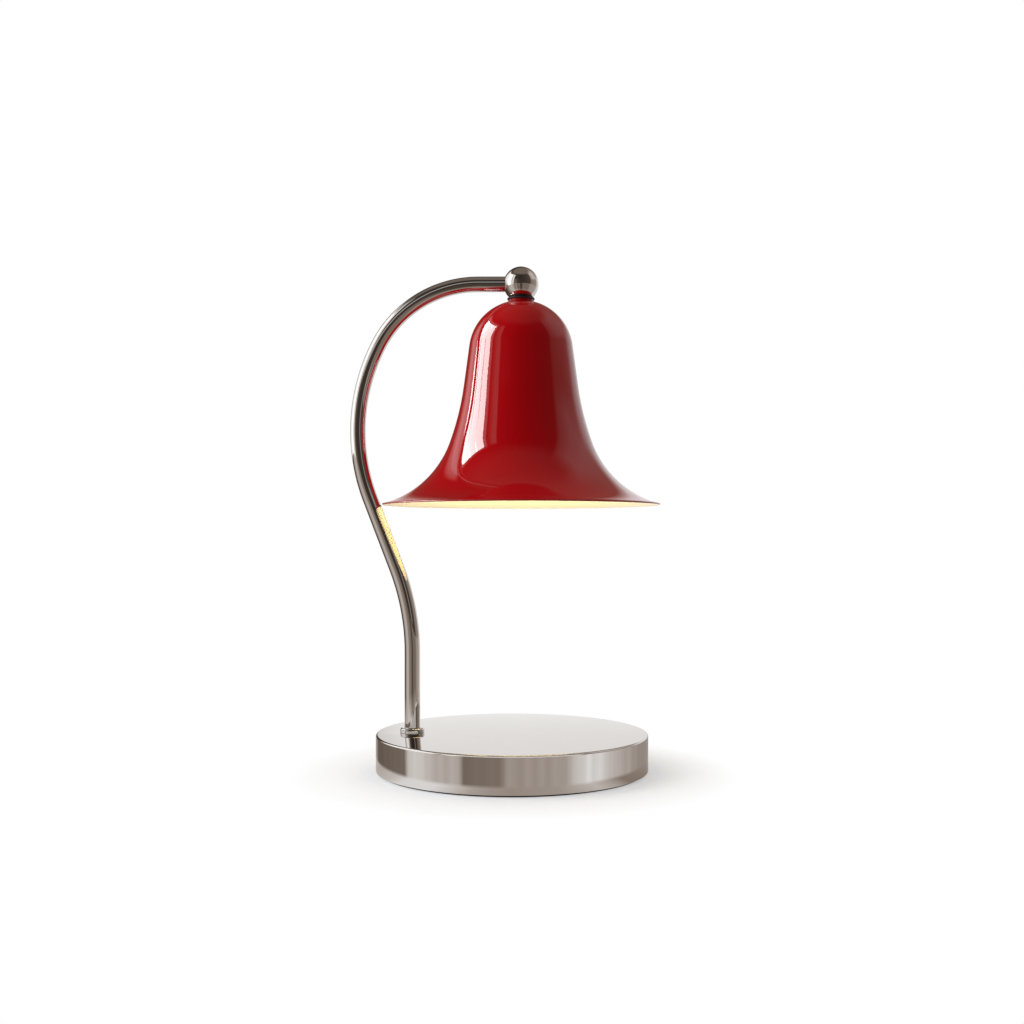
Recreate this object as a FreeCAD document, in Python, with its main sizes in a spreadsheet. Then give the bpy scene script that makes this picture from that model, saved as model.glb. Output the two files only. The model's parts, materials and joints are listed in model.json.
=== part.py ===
"""Candle warmer lamp: a weighted chrome base, a bent tube arm and a flared red shade
that hangs from a ball elbow over the base. Millimetres, +Z up, origin at the centre of
the underside, arm towards -X, back of the base towards +Y."""

import FreeCAD, Part
import math
import os
import Sketcher

# Driving sizes

SIZES = [
    ("base_radius", 70.0),
    ("base_bottom", 1.0),
    ("base_top", 19.5),
    ("base_wall", 1.0),
    ("base_top_wall", 1.2),
    ("base_edge_radius", 1.0),
    ("fit_gap", 0.05),
    ("loose_gap", 0.3),
    ("overcut", 1.0),
    ("pad_thickness", 2.5),
    ("pad_gap", 1.2),
    ("cover_thickness", 1.2),
    ("cover_gap", 0.4),
    ("ballast_thickness", 10.0),
    ("ballast_gap", 1.5),
    ("ballast_back_gap", 1.83),
    ("boss_radius", 5.0),
    ("boss_inset", 24.0),
    ("boss_count", 3.0),
    ("cover_screw_radius", 1.5),
    ("cover_screw_head_radius", 3.0),
    ("cover_screw_head_height", 1.4),
    ("cover_screw_length", 9.0),
    ("cover_slot_length", 4.8),
    ("cover_slot_width", 0.75),
    ("cover_slot_depth", 0.7),
    ("foot_inset", 18.5),
    ("tube_radius", 4.0),
    ("tube_bore", 3.0),
    ("tube_tail", 11.0),
    ("foot_ring_radius", 6.15),
    ("foot_ring_height", 2.5),
    ("foot_ring_round", 0.8),
    ("foot_pocket_radius", 10.0),
    ("foot_pocket_roof", 4.0),
    ("arm_washer_radius", 7.5),
    ("arm_washer_thickness", 1.0),
    ("arm_nut_width", 13.0),
    ("arm_nut_height", 4.5),
    ("arm_height", 251.1),
    ("arm_crown_run", 22.07),
    ("arm_crown_bend", 57.9),
    ("arm_crown_angle", 63.3),
    ("arm_side_bend", 98.2),
    ("arm_side_angle", 47.6),
    ("arm_foot_bend", 122.9),
    ("arm_cable_radius", 2.3),
    ("arm_cable_turn", 3.6),
    ("arm_cable_setback", 1.0),
    ("shade_x", 4.65),
    ("ball_radius", 9.1),
    ("ball_flat", 7.1),
    ("ball_floor", 1.6),
    ("ball_cavity_radius", 5.2),
    ("ball_cavity_roof", 3.0),
    ("tube_end_gap", 4.4),
    ("grub_radius", 1.5),
    ("grub_setback", 5.9),
    ("grub_socket_radius", 0.8),
    ("grub_socket_depth", 0.9),
    ("clip_radius", 4.8),
    ("clip_thickness", 0.6),
    ("clip_groove", 0.5),
    ("neck_washer_radius", 7.1),
    ("neck_washer_thickness", 1.0),
    ("collar_radius", 6.35),
    ("collar_height", 1.1),
    ("stem_radius", 4.0),
    ("stem_bore", 2.7),
    ("stem_above_clip", 1.2),
    ("shade_wall", 0.8),
    ("shade_start_angle", 13.05),
    ("shade_dome_bend", 26.64),
    ("shade_dome_angle", 69.2),
    ("shade_side_run", 21.08),
    ("shade_side_bend", 141.94),
    ("shade_side_angle", 12.33),
    ("shade_flare_bend", 50.45),
    ("shade_flare_angle", 54.84),
    ("shade_nut_width", 11.0),
    ("shade_nut_height", 3.5),
    ("bracket_radius", 12.0),
    ("bracket_thickness", 1.5),
    ("bracket_boss_radius", 6.5),
    ("bracket_boss_height", 5.0),
    ("holder_radius", 13.0),
    ("holder_height", 25.0),
    ("holder_cavity_radius", 7.0),
    ("holder_cavity_depth", 12.0),
    ("holder_screw_circle", 10.0),
    ("holder_screw_radius", 1.2),
    ("holder_screw_head_radius", 2.2),
    ("holder_screw_head_height", 1.3),
    ("holder_screw_length", 7.0),
    ("screw_tip_gap", 0.5),
    ("slot_lip", 1.8),
    ("slot_depth", 9.0),
    ("pin_spacing", 5.0),
    ("pin_head_radius", 2.5),
    ("pin_neck_radius", 1.65),
    ("pin_length", 7.0),
    ("pin_head_height", 3.2),
    ("pin_gap", 0.35),
    ("unlock_angle", 22.0),
    ("contact_width", 3.6),
    ("contact_thickness", 0.8),
    ("bulb_gap", 0.3),
    ("bulb_cap_radius", 12.0),
    ("bulb_cap_height", 15.0),
    ("bulb_cap_chamfer", 1.0),
    ("bulb_length", 46.0),
    ("bulb_face_radius", 25.0),
    ("bulb_neck_radius", 13.0),
    ("bulb_rim_height", 3.0),
    ("bulb_wall", 1.2),
    ("bulb_lens_thickness", 1.5),
    ("bulb_lens_gap", 0.1),
    ("bulb_lens_setback", 0.5),
    ("capsule_radius", 4.2),
    ("capsule_height", 18.0),
    ("service_height", 10.3),
    ("inlet_bore", 2.6),
    ("inlet_barrel_radius", 4.0),
    ("inlet_flange_radius", 5.5),
    ("inlet_flange_thickness", 2.0),
    ("inlet_barrel_length", 7.0),
    ("inlet_nut_width", 11.0),
    ("inlet_nut_height", 3.0),
    ("dimmer_angle", 40.0),
    ("dimmer_body_radius", 6.2),
    ("dimmer_body_depth", 8.0),
    ("dimmer_bush_radius", 3.4),
    ("dimmer_bush_length", 3.6),
    ("dimmer_shaft_radius", 1.95),
    ("dimmer_shaft_depth", 3.2),
    ("dimmer_nut_width", 9.0),
    ("dimmer_nut_height", 1.6),
    ("knob_radius", 6.8),
    ("knob_height", 9.5),
    ("knob_skirt_radius", 5.6),
    ("knob_skirt_depth", 2.4),
    ("knob_bore_depth", 5.5),
    ("knob_round", 0.8),
    ("knob_rib_count", 24.0),
    ("knob_rib_radius", 0.5),
    ("knob_rib_offset", 0.2),
    ("knob_rib_stop", 0.75),
    ("knob_mark_length", 4.8),
    ("knob_mark_width", 0.8),
    ("knob_mark_depth", 0.4),
    ("knob_mark_place", 3.7),
    ("block_length", 20.0),
    ("block_width", 11.0),
    ("block_height", 8.0),
    ("block_x", -20.0),
    ("block_gap", 3.0),
    ("block_port_radius", 1.3),
    ("block_port_height", 1.7),
    ("block_port_depth", 3.5),
    ("block_pole_spacing", 5.5),
    ("block_screw_radius", 1.6),
    ("block_screw_height", 3.0),
    ("block_screw_spacing", 11.2),
    ("block_screw_sink", 0.6),
    ("block_slot_depth", 0.6),
    ("lead_radius", 0.8),
    ("lead_spacing", 1.1),
    ("lead_bend", 2.0),
    ("lead_wall_gap", 2.55),
    ("lead_end_run", 12.0),
    ("lead_climb", 5.0),
    ("lead_straight", 4.0),
    ("lead_knee_rise", 2.5),
    ("lead_knee_drop", 2.0),
]

# Places that follow from the sizes: the arm's foot and the cover's bosses keep their distance
# from the base's wall, the ballast's back edge clears the dimmer, and the terminal block
# stands behind that edge

FOLLOWING = [
    ("foot_x", "=foot_inset - base_radius"),
    ("boss_circle", "=base_radius - base_wall - boss_inset"),
    ("ballast_back", "=(base_radius - base_wall - dimmer_body_depth - lead_straight"
                     " - lead_climb) * cos(dimmer_angle) - ballast_back_gap"),
    ("block_y", "=ballast_back + block_gap + 0.5 * block_width"),
]

# How the bulb's reflector widens: shares of its depth and of its widening

REFLECTOR_CURVE = ((0.5, 0.75), (0.8, 0.91))

doc = FreeCAD.newDocument("candle_warmer_lamp")
dim = doc.addObject("Spreadsheet::Sheet", "dim")
for row, (alias, value) in enumerate(SIZES + FOLLOWING, start=1):
    dim.set("A%d" % row, alias)
    dim.set("B%d" % row, str(value))
    dim.setAlias("B%d" % row, alias)
doc.recompute()

WORDS = {alias for alias, value in SIZES + FOLLOWING}


def bound(rule):
    """Write the sheet's name before each size in a rule such as 'base_top - base_wall'."""
    out = []
    word = ""
    for letter in rule + " ":
        if letter.isalnum() or letter == "_":
            word += letter
            continue
        out.append("dim." + word if word in WORDS else word)
        out.append(letter)
        word = ""
    return "".join(out).strip()


def val(rule):
    """The number that a rule gives with the sizes in the sheet."""
    return float(dim.evalExpression(bound(rule)))


# Rules that more than one piece uses

COVER_TOP = "pad_thickness + cover_thickness"
BALLAST_TOP = "base_top - base_top_wall"
BALLAST_BOTTOM = BALLAST_TOP + " - ballast_thickness"
BALLAST_RADIUS = "base_radius - base_wall - ballast_gap"
FOOT_SEAT = BALLAST_TOP + " - foot_pocket_roof"
TUBE_END = "base_top - tube_tail"
NUT_TOP = FOOT_SEAT + " - arm_washer_thickness"
BALL_FLAT = "arm_height - ball_flat"
LEDGE = BALL_FLAT + " + ball_floor"
COLLAR_TOP = BALL_FLAT + " - neck_washer_thickness"
SHADE_TOP = COLLAR_TOP + " - collar_height"
SHADE_UNDER = SHADE_TOP + " - shade_wall"
BOSS_TOP = SHADE_UNDER + " - shade_nut_height"
BRACKET_TOP = BOSS_TOP + " - bracket_boss_height"
HOLDER_TOP = BRACKET_TOP + " - bracket_thickness"
HOLDER_BOTTOM = HOLDER_TOP + " - holder_height"
BULB_TOP = HOLDER_BOTTOM + " - bulb_gap"
SLOT_ROOF = HOLDER_BOTTOM + " + slot_depth"
CAP_BOTTOM = BULB_TOP + " - bulb_cap_height"
BULB_FACE = BULB_TOP + " - bulb_length"
STEM_BOTTOM = HOLDER_TOP + " + 0.5 * bracket_thickness"
CABLE_TOP = "arm_height - arm_cable_turn"
CABLE_TAIL = TUBE_END + " + arm_cable_setback"
PORT_LEVEL = COVER_TOP + " + block_port_height"
STEM_TOP = LEDGE + " + fit_gap + clip_thickness + stem_above_clip"
INNER_WALL = "base_radius - base_wall"
KNOB_FOOT = "base_radius + loose_gap"

nodes = {}


def add_node(label, item):
    """Give a finished piece its name."""
    item.Label = label
    nodes[label] = item
    return item


def place(item, x="0", y="0", z="0"):
    """Bind where a piece stands."""
    for axis, rule in (("x", x), ("y", y), ("z", z)):
        if rule != "0":
            item.setExpression("Placement.Base." + axis, bound(rule))
    return item


def make_sketch(body, role, rise="0"):
    """A sketch on one of the body's own origin planes, raised along its normal."""
    plane = [item for item in body.Origin.OriginFeatures if item.Role == role][0]
    sketch = body.newObject("Sketcher::SketchObject", body.Name + "_sketch")
    sketch.AttachmentSupport = [(plane, "")]
    sketch.MapMode = "FlatFace"
    if rise != "0":
        sketch.setExpression("AttachmentOffset.Base.z", bound(rise))
    return sketch


def pin_point(sketch, index, end, across, up):
    """Hold one end of a line, or a circle's centre, at two bound distances."""
    for kind, rule, axis in (("DistanceX", across, -2), ("DistanceY", up, -1)):
        if rule == "0":
            sketch.addConstraint(Sketcher.Constraint("PointOnObject", index, end, axis))
            continue
        limit = Sketcher.Constraint(kind, -1, 1, index, end, val(rule))
        number = sketch.addConstraint(limit)
        sketch.setExpression("Constraints[%d]" % number, bound(rule))


def draw_outline(sketch, corners):
    """A closed outline of straight lines through corners given as rules."""
    spots = [FreeCAD.Vector(val(across), val(up), 0) for across, up in corners]
    count = len(spots)
    for index in range(count):
        line = Part.LineSegment(spots[index], spots[(index + 1) % count])
        sketch.addGeometry(line, False)
    for index in range(count):
        after = (index + 1) % count
        sketch.addConstraint(Sketcher.Constraint("Coincident", index, 2, after, 1))
    for index, (across, up) in enumerate(corners):
        pin_point(sketch, index, 1, across, up)


def turned_body(label, corners, x="0", y="0"):
    """A body turned about its own vertical axis, from (radius, height) corners."""
    body = doc.addObject("PartDesign::Body", label)
    sketch = make_sketch(body, "XZ_Plane")
    draw_outline(sketch, corners)
    spin = body.newObject("PartDesign::Revolution", label + "_turned")
    spin.Profile = sketch
    spin.ReferenceAxis = (sketch, ["V_Axis"])
    spin.Angle = 360
    body.Tip = spin
    place(body, x, y)
    doc.recompute()
    return body


def turn_piece(label, corners, x="0", y="0"):
    """A whole piece that is turned about its own vertical axis."""
    return add_node(label, turned_body(label, corners, x, y))


def round_edge(body, radius, height, size):
    """Round the circular edge of a turned piece that has this radius and height."""
    wanted = []
    for number, edge in enumerate(body.Tip.Shape.Edges, start=1):
        curve = edge.Curve
        if not isinstance(curve, Part.Circle):
            continue
        if abs(curve.Radius - val(radius)) < 1e-4 and abs(curve.Center.z - val(height)) < 1e-4:
            wanted.append("Edge%d" % number)
    base = body.Tip
    fillet = body.newObject("PartDesign::Fillet", body.Name + "_round")
    fillet.Base = (base, wanted)
    fillet.setExpression("Radius", bound(size))
    body.Tip = fillet
    doc.recompute()


def drill(body, role, start, depth, circles):
    """Cut round holes against a plane's normal, from a start height and to a depth."""
    before = body.Shape.Volume
    sketch = make_sketch(body, role, start)
    for index, (across, up, radius) in enumerate(circles):
        centre = FreeCAD.Vector(val(across), val(up), 0)
        circle = Part.Circle(centre, FreeCAD.Vector(0, 0, 1), val(radius))
        sketch.addGeometry(circle, False)
        pin_point(sketch, index, 3, across, up)
        number = sketch.addConstraint(Sketcher.Constraint("Radius", index, val(radius)))
        sketch.setExpression("Constraints[%d]" % number, bound(radius))
    pocket = body.newObject("PartDesign::Pocket", body.Name + "_drilled")
    pocket.Profile = sketch
    pocket.setExpression("Length", bound(depth))
    body.Tip = pocket
    doc.recompute()
    if body.Shape.Volume >= before - 1e-6:
        raise ValueError("nothing was drilled in " + body.Label)


def cylinder(name, radius, length, x="0", y="0", z="0"):
    """An upright cylinder with bound sizes."""
    item = doc.addObject("Part::Cylinder", name)
    item.setExpression("Radius", bound(radius))
    item.setExpression("Height", bound(length))
    return place(item, x, y, z)


def lying_cylinder(name, radius, length, direction, x="0", y="0", z="0"):
    """A cylinder along a level direction with bound sizes."""
    item = cylinder(name, radius, length, x, y, z)
    turned = FreeCAD.Rotation(FreeCAD.Vector(0, 0, 1), direction)
    item.Placement = FreeCAD.Placement(item.Placement.Base, turned)
    return item


def box(name, length, width, height, x="0", y="0", z="0"):
    """A box with bound sizes, centred on x and y and standing on z."""
    item = doc.addObject("Part::Box", name)
    item.setExpression("Length", bound(length))
    item.setExpression("Width", bound(width))
    item.setExpression("Height", bound(height))
    return place(item, "%s - 0.5 * %s" % (x, length), "%s - 0.5 * %s" % (y, width), z)


def hexagon(name, width, height, x="0", y="0", z="0"):
    """An upright hexagonal bar with a bound width across its flats."""
    item = doc.addObject("Part::Prism", name)
    item.Polygon = 6
    item.setExpression("Circumradius", bound("(%s) / (2 * cos(30))" % width))
    item.setExpression("Height", bound(height))
    return place(item, x, y, z)


def fuse(name, items):
    """Join overlapping solids into one."""
    result = doc.addObject("Part::MultiFuse", name)
    result.Shapes = items
    result.Refine = True
    return result


def cut(name, base, tools):
    """Cut several tools from a base."""
    result = doc.addObject("Part::Cut", name)
    result.Base = base
    result.Tool = tools[0] if len(tools) == 1 else fuse(name + "_tools", tools)
    result.Refine = True
    return result


def group(name, items):
    """Several equal pieces that share one node."""
    result = doc.addObject("Part::Compound", name)
    result.Links = items
    return result


def direct_piece(label, shape):
    """A piece whose shape follows a chain of arcs."""
    item = doc.addObject("Part::Feature", label)
    item.Shape = shape
    return add_node(label, item)


# Chains of straight runs and tangent arcs, used by the arm, its cable and the shade

def heading(degrees):
    """The level or upright unit vector at an angle in the X-Z plane."""
    angle = math.radians(degrees)
    return FreeCAD.Vector(math.cos(angle), 0, math.sin(angle))


def chain(start, degrees, steps):
    """Edges, last point and last angle of runs (length,) and bends (radius, turn)."""
    edges = []
    point = start
    for step in steps:
        if len(step) == 1:
            after = point + heading(degrees) * step[0]
            edges.append(Part.makeLine(point, after))
            point = after
            continue
        radius, turn = step
        side = 1 if turn > 0 else -1
        centre = point + heading(degrees + 90 * side) * radius
        middle = centre - heading(degrees + 90 * side + turn / 2) * radius
        after = centre - heading(degrees + 90 * side + turn) * radius
        edges.append(Part.Arc(point, middle, after).toShape())
        point = after
        degrees += turn
    return edges, point, degrees


def sweep(edges, radius):
    """A round bar along a chain of edges."""
    path = Part.Wire(edges)
    start = edges[0].firstVertex().Point
    direction = edges[0].tangentAt(edges[0].FirstParameter)
    ring = Part.Wire([Part.makeCircle(radius, start, direction)])
    return path.makePipeShell([ring], True, True)


def arm_bends(low):
    """The arm's centreline from the end of its level crown down to a height rule."""
    crown = (val("arm_crown_bend"), val("arm_crown_angle"))
    side = (val("arm_side_bend"), val("arm_side_angle"))
    foot = (val("arm_foot_bend"), 90 - crown[1] - side[1])
    start = FreeCAD.Vector(val("shade_x - arm_crown_run"), 0, val("arm_height"))
    upper = chain(start, 180, [crown, side])
    lower = chain(FreeCAD.Vector(0, 0, 0), upper[2], [foot])
    slope = heading(upper[2])
    lean = (val("foot_x") - upper[1].x - lower[1].x) / slope.x
    foot_top = upper[1].z + lean * slope.z + lower[1].z
    return [crown, side, (lean,), foot, (foot_top - val(low),)]


def bent_wire(points, bend):
    """Straight runs through points, with a tangent arc of one radius at each corner."""
    edges = []
    last = points[0]
    for before, corner, after in zip(points, points[1:], points[2:]):
        inward = (before - corner).normalize()
        outward = (after - corner).normalize()
        half = inward.getAngle(outward) / 2
        reach = bend / math.tan(half)
        first = corner + inward * reach
        second = corner + outward * reach
        centre = corner + (inward + outward).normalize() * (bend / math.sin(half))
        middle = centre + (corner - centre).normalize() * bend
        edges.append(Part.makeLine(last, first))
        edges.append(Part.Arc(first, middle, second).toShape())
        last = second
    edges.append(Part.makeLine(last, points[-1]))
    return edges


# Base

def make_base_shell():
    inner = INNER_WALL
    shell = turn_piece("base_shell", [
        ("0", BALLAST_TOP),
        (inner, BALLAST_TOP),
        (inner, "base_bottom"),
        ("base_radius", "base_bottom"),
        ("base_radius", "base_top"),
        ("0", "base_top"),
    ])
    round_edge(shell, "base_radius", "base_top", "base_edge_radius")
    drill(shell, "XY_Plane", "base_top", "base_top_wall * 2",
          [("foot_x", "0", "tube_radius + fit_gap")])
    wall = "base_wall * 3"
    radius = "inlet_barrel_radius + fit_gap"
    drill(shell, "XZ_Plane", "-base_radius + base_wall * 2", wall,
          [("0", "service_height", radius)])
    return shell


def make_dimmer_hole(shell):
    """The base shell's hole for the dimmer's bush is square to the wall there."""
    before = shell.Shape.Volume
    datum = shell.newObject("PartDesign::Plane", "dimmer_wall")
    angle = val("dimmer_angle")
    outward = FreeCAD.Vector(math.sin(math.radians(angle)), math.cos(math.radians(angle)), 0)
    datum.Placement = FreeCAD.Placement(FreeCAD.Vector(0, 0, 0),
                                        FreeCAD.Rotation(FreeCAD.Vector(0, 0, 1), outward))
    sketch = shell.newObject("Sketcher::SketchObject", "dimmer_hole_sketch")
    sketch.AttachmentSupport = [(datum, "")]
    sketch.MapMode = "FlatFace"
    sketch.setExpression("AttachmentOffset.Base.z", bound("base_radius + base_wall"))
    spot = datum.Placement.inverse().multVec(FreeCAD.Vector(0, 0, val("service_height")))
    circle = Part.Circle(spot, FreeCAD.Vector(0, 0, 1), val("dimmer_bush_radius + fit_gap"))
    sketch.addGeometry(circle, False)
    number = sketch.addConstraint(Sketcher.Constraint("Radius", 0, circle.Radius))
    sketch.setExpression("Constraints[%d]" % number, bound("dimmer_bush_radius + fit_gap"))
    pocket = shell.newObject("PartDesign::Pocket", "dimmer_hole")
    pocket.Profile = sketch
    pocket.setExpression("Length", bound("base_wall * 4"))
    shell.Tip = pocket
    doc.recompute()
    if shell.Shape.Volume >= before - 1e-6:
        raise ValueError("the dimmer's hole is missing")


def boss_places():
    """The cover's screw places: one at the front, the rest evenly round it."""
    count = int(round(val("boss_count")))
    turns = [-90 + 360.0 * number / count for number in range(count)]
    return [("boss_circle * cos(%g)" % turn, "boss_circle * sin(%g)" % turn) for turn in turns]


def make_ballast():
    disc = cylinder("ballast_disc", BALLAST_RADIUS, "ballast_thickness", z=BALLAST_BOTTOM)
    solids = [disc]
    tools = [cylinder("ballast_foot_hole", "tube_radius + loose_gap", "2 * ballast_thickness",
                      x="foot_x", z=BALLAST_BOTTOM),
             cylinder("ballast_foot_pocket", "foot_pocket_radius",
                      "ballast_thickness - foot_pocket_roof + overcut", x="foot_x",
                      z=BALLAST_BOTTOM + " - overcut"),
             box("ballast_back_cut", "2 * base_radius", "base_radius", "2 * ballast_thickness",
                 y="ballast_back + 0.5 * base_radius", z=BALLAST_BOTTOM + " - overcut")]
    for number, (x, y) in enumerate(boss_places()):
        rise = BALLAST_BOTTOM + " - (" + COVER_TOP + ")"
        solids.append(cylinder("boss_%d" % number, "boss_radius", rise + " + overcut", x, y,
                               COVER_TOP))
        tools.append(cylinder("boss_hole_%d" % number, "cover_screw_radius + fit_gap",
                              "cover_screw_length + overcut", x, y, "pad_thickness"))
    body = fuse("ballast_body", solids)
    add_node("ballast_weight", cut("ballast_cut", body, tools))


def make_bottom_cover():
    radius = INNER_WALL + " - cover_gap"
    cover = turn_piece("bottom_cover", [
        ("0", "pad_thickness"),
        (radius, "pad_thickness"),
        (radius, COVER_TOP),
        ("0", COVER_TOP),
    ])
    holes = [(x, y, "cover_screw_radius + loose_gap") for x, y in boss_places()]
    drill(cover, "XY_Plane", COVER_TOP, "2 * cover_thickness", holes)


def make_foot_pad():
    radius = INNER_WALL + " - pad_gap"
    pad = turn_piece("foot_pad", [
        ("0", "0"),
        (radius, "0"),
        (radius, "pad_thickness"),
        ("0", "pad_thickness"),
    ])
    holes = [(x, y, "cover_screw_head_radius + loose_gap") for x, y in boss_places()]
    drill(pad, "XY_Plane", "pad_thickness + overcut", "pad_thickness + 2 * overcut", holes)


def make_cover_screws():
    screws = []
    for number, (x, y) in enumerate(boss_places()):
        head = cylinder("cover_head_%d" % number, "cover_screw_head_radius",
                        "cover_screw_head_height", x, y,
                        "pad_thickness - cover_screw_head_height")
        shank = cylinder("cover_shank_%d" % number, "cover_screw_radius",
                         "cover_screw_length + 0.5 * cover_screw_head_height", x, y,
                         "pad_thickness - 0.5 * cover_screw_head_height")
        slot = box("cover_slot_%d" % number, "cover_slot_length", "cover_slot_width",
                   "cover_slot_depth", x, y, "pad_thickness - cover_screw_head_height")
        whole = fuse("cover_screw_whole_%d" % number, [head, shank])
        screws.append(cut("cover_screw_%d" % number, whole, [slot]))
    add_node("cover_screws", group("cover_screw_group", screws))


# Arm

def make_foot_ring():
    top = "base_top + foot_ring_height"
    ring = turn_piece("foot_ring", [
        ("tube_radius + fit_gap", "base_top"),
        ("foot_ring_radius", "base_top"),
        ("foot_ring_radius", top),
        ("tube_radius + fit_gap", top),
    ], x="foot_x")
    round_edge(ring, "foot_ring_radius", top, "foot_ring_round")


def make_arm_tube():
    start = FreeCAD.Vector(val("shade_x - tube_end_gap"), 0, val("arm_height"))
    steps = [(val("arm_crown_run - tube_end_gap"),)] + arm_bends(TUBE_END)
    edges, end, degrees = chain(start, 180, steps)
    tube = sweep(edges, val("tube_radius")).cut(sweep(edges, val("tube_bore")))
    length = sum(edge.Length for edge in edges)
    section = math.pi * (val("tube_radius") ** 2 - val("tube_bore") ** 2)
    print("arm tube %.1f mm long, volume %.1f of %.1f" % (length, tube.Volume, section * length))
    direct_piece("arm_tube", tube)


def make_arm_fasteners():
    hole = cylinder("arm_washer_hole", "tube_radius + fit_gap", "3 * arm_washer_thickness",
                    x="foot_x", z=NUT_TOP + " - overcut")
    disc = cylinder("arm_washer_disc", "arm_washer_radius", "arm_washer_thickness",
                    x="foot_x", z=NUT_TOP)
    add_node("arm_washer", cut("arm_washer_cut", disc, [hole]))
    low = NUT_TOP + " - arm_nut_height"
    bar = hexagon("arm_nut_bar", "arm_nut_width", "arm_nut_height", x="foot_x", z=low)
    thread = cylinder("arm_nut_hole", "tube_radius + fit_gap", "2 * arm_nut_height",
                      x="foot_x", z=low + " - overcut")
    add_node("arm_nut", cut("arm_nut_cut", bar, [thread]))


def make_ball_elbow():
    ball = doc.addObject("Part::Sphere", "ball_sphere")
    ball.setExpression("Radius", bound("ball_radius"))
    place(ball, "shade_x", "0", "arm_height")
    level = FreeCAD.Vector(-1, 0, 0)
    side = lying_cylinder("ball_side_bore", "tube_radius + fit_gap", "2 * ball_radius", level,
                          x="shade_x - tube_end_gap + loose_gap", z="arm_height")
    tools = [
        side,
        box("ball_flat_cut", "3 * ball_radius", "3 * ball_radius", "ball_radius",
            x="shade_x", z=BALL_FLAT + " - ball_radius"),
        cylinder("ball_stem_bore", "stem_radius + fit_gap", "2 * ball_floor",
                 x="shade_x", z=BALL_FLAT + " - 0.5 * ball_floor"),
        cylinder("ball_cavity", "ball_cavity_radius",
                 "ball_flat - ball_floor + ball_cavity_roof", x="shade_x", z=LEDGE),
        lying_cylinder("ball_grub_hole", "grub_radius + fit_gap", "ball_radius",
                       FreeCAD.Vector(0, 1, 0), x="shade_x - grub_setback", z="arm_height"),
    ]
    add_node("ball_elbow", cut("ball_elbow_cut", ball, tools))


def make_grub_screw():
    reach = "sqrt(ball_radius ^ 2 - grub_setback ^ 2)"
    length = reach + " - tube_radius - 2 * fit_gap - grub_radius ^ 2 / (2 * ball_radius)"
    screw = lying_cylinder("grub_body", "grub_radius", length, FreeCAD.Vector(0, 1, 0),
                           x="shade_x - grub_setback", y="tube_radius + fit_gap",
                           z="arm_height")
    socket = doc.addObject("Part::Prism", "grub_socket")
    socket.Polygon = 6
    socket.setExpression("Circumradius", bound("grub_socket_radius"))
    socket.setExpression("Height", bound("2 * grub_socket_depth"))
    place(socket, "shade_x - grub_setback", "tube_radius + " + length + " - grub_socket_depth",
          "arm_height")
    turned = FreeCAD.Rotation(FreeCAD.Vector(0, 0, 1), FreeCAD.Vector(0, 1, 0))
    socket.Placement = FreeCAD.Placement(socket.Placement.Base, turned)
    add_node("arm_set_screw", cut("grub_cut", screw, [socket]))


def make_arm_cable():
    """The lamp's cable turns up inside the ball and follows the arm's centreline."""
    turn = val("arm_cable_turn")
    start = FreeCAD.Vector(val("shade_x"), 0, val(CABLE_TOP))
    steps = [(turn, 90), (val("arm_crown_run") - turn,)] + arm_bends(CABLE_TAIL)
    edges, end, degrees = chain(start, 90, steps)
    direct_piece("arm_cable", sweep(edges, val("arm_cable_radius")))


# Neck and shade

def make_neck():
    hole = "stem_radius + fit_gap"
    turn_piece("neck_washer", [
        (hole, COLLAR_TOP),
        ("neck_washer_radius", COLLAR_TOP),
        ("neck_washer_radius", BALL_FLAT + " - fit_gap"),
        (hole, BALL_FLAT + " - fit_gap"),
    ], x="shade_x")
    turn_piece("neck_collar", [
        (hole, SHADE_TOP),
        ("collar_radius", SHADE_TOP),
        ("collar_radius", COLLAR_TOP),
        (hole, COLLAR_TOP),
    ], x="shade_x")
    waist = "stem_radius - clip_groove"
    ledge = LEDGE + " + fit_gap"
    turn_piece("stem_tube", [
        ("stem_bore", STEM_BOTTOM),
        ("stem_radius", STEM_BOTTOM),
        ("stem_radius", ledge),
        (waist, ledge),
        (waist, ledge + " + clip_thickness"),
        ("stem_radius", ledge + " + clip_thickness"),
        ("stem_radius", STEM_TOP),
        ("stem_bore", STEM_TOP),
    ], x="shade_x")
    turn_piece("swivel_clip", [
        (waist + " + fit_gap", ledge),
        ("clip_radius", ledge),
        ("clip_radius", ledge + " + clip_thickness - fit_gap"),
        (waist + " + fit_gap", ledge + " + clip_thickness - fit_gap"),
    ], x="shade_x")


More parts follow.
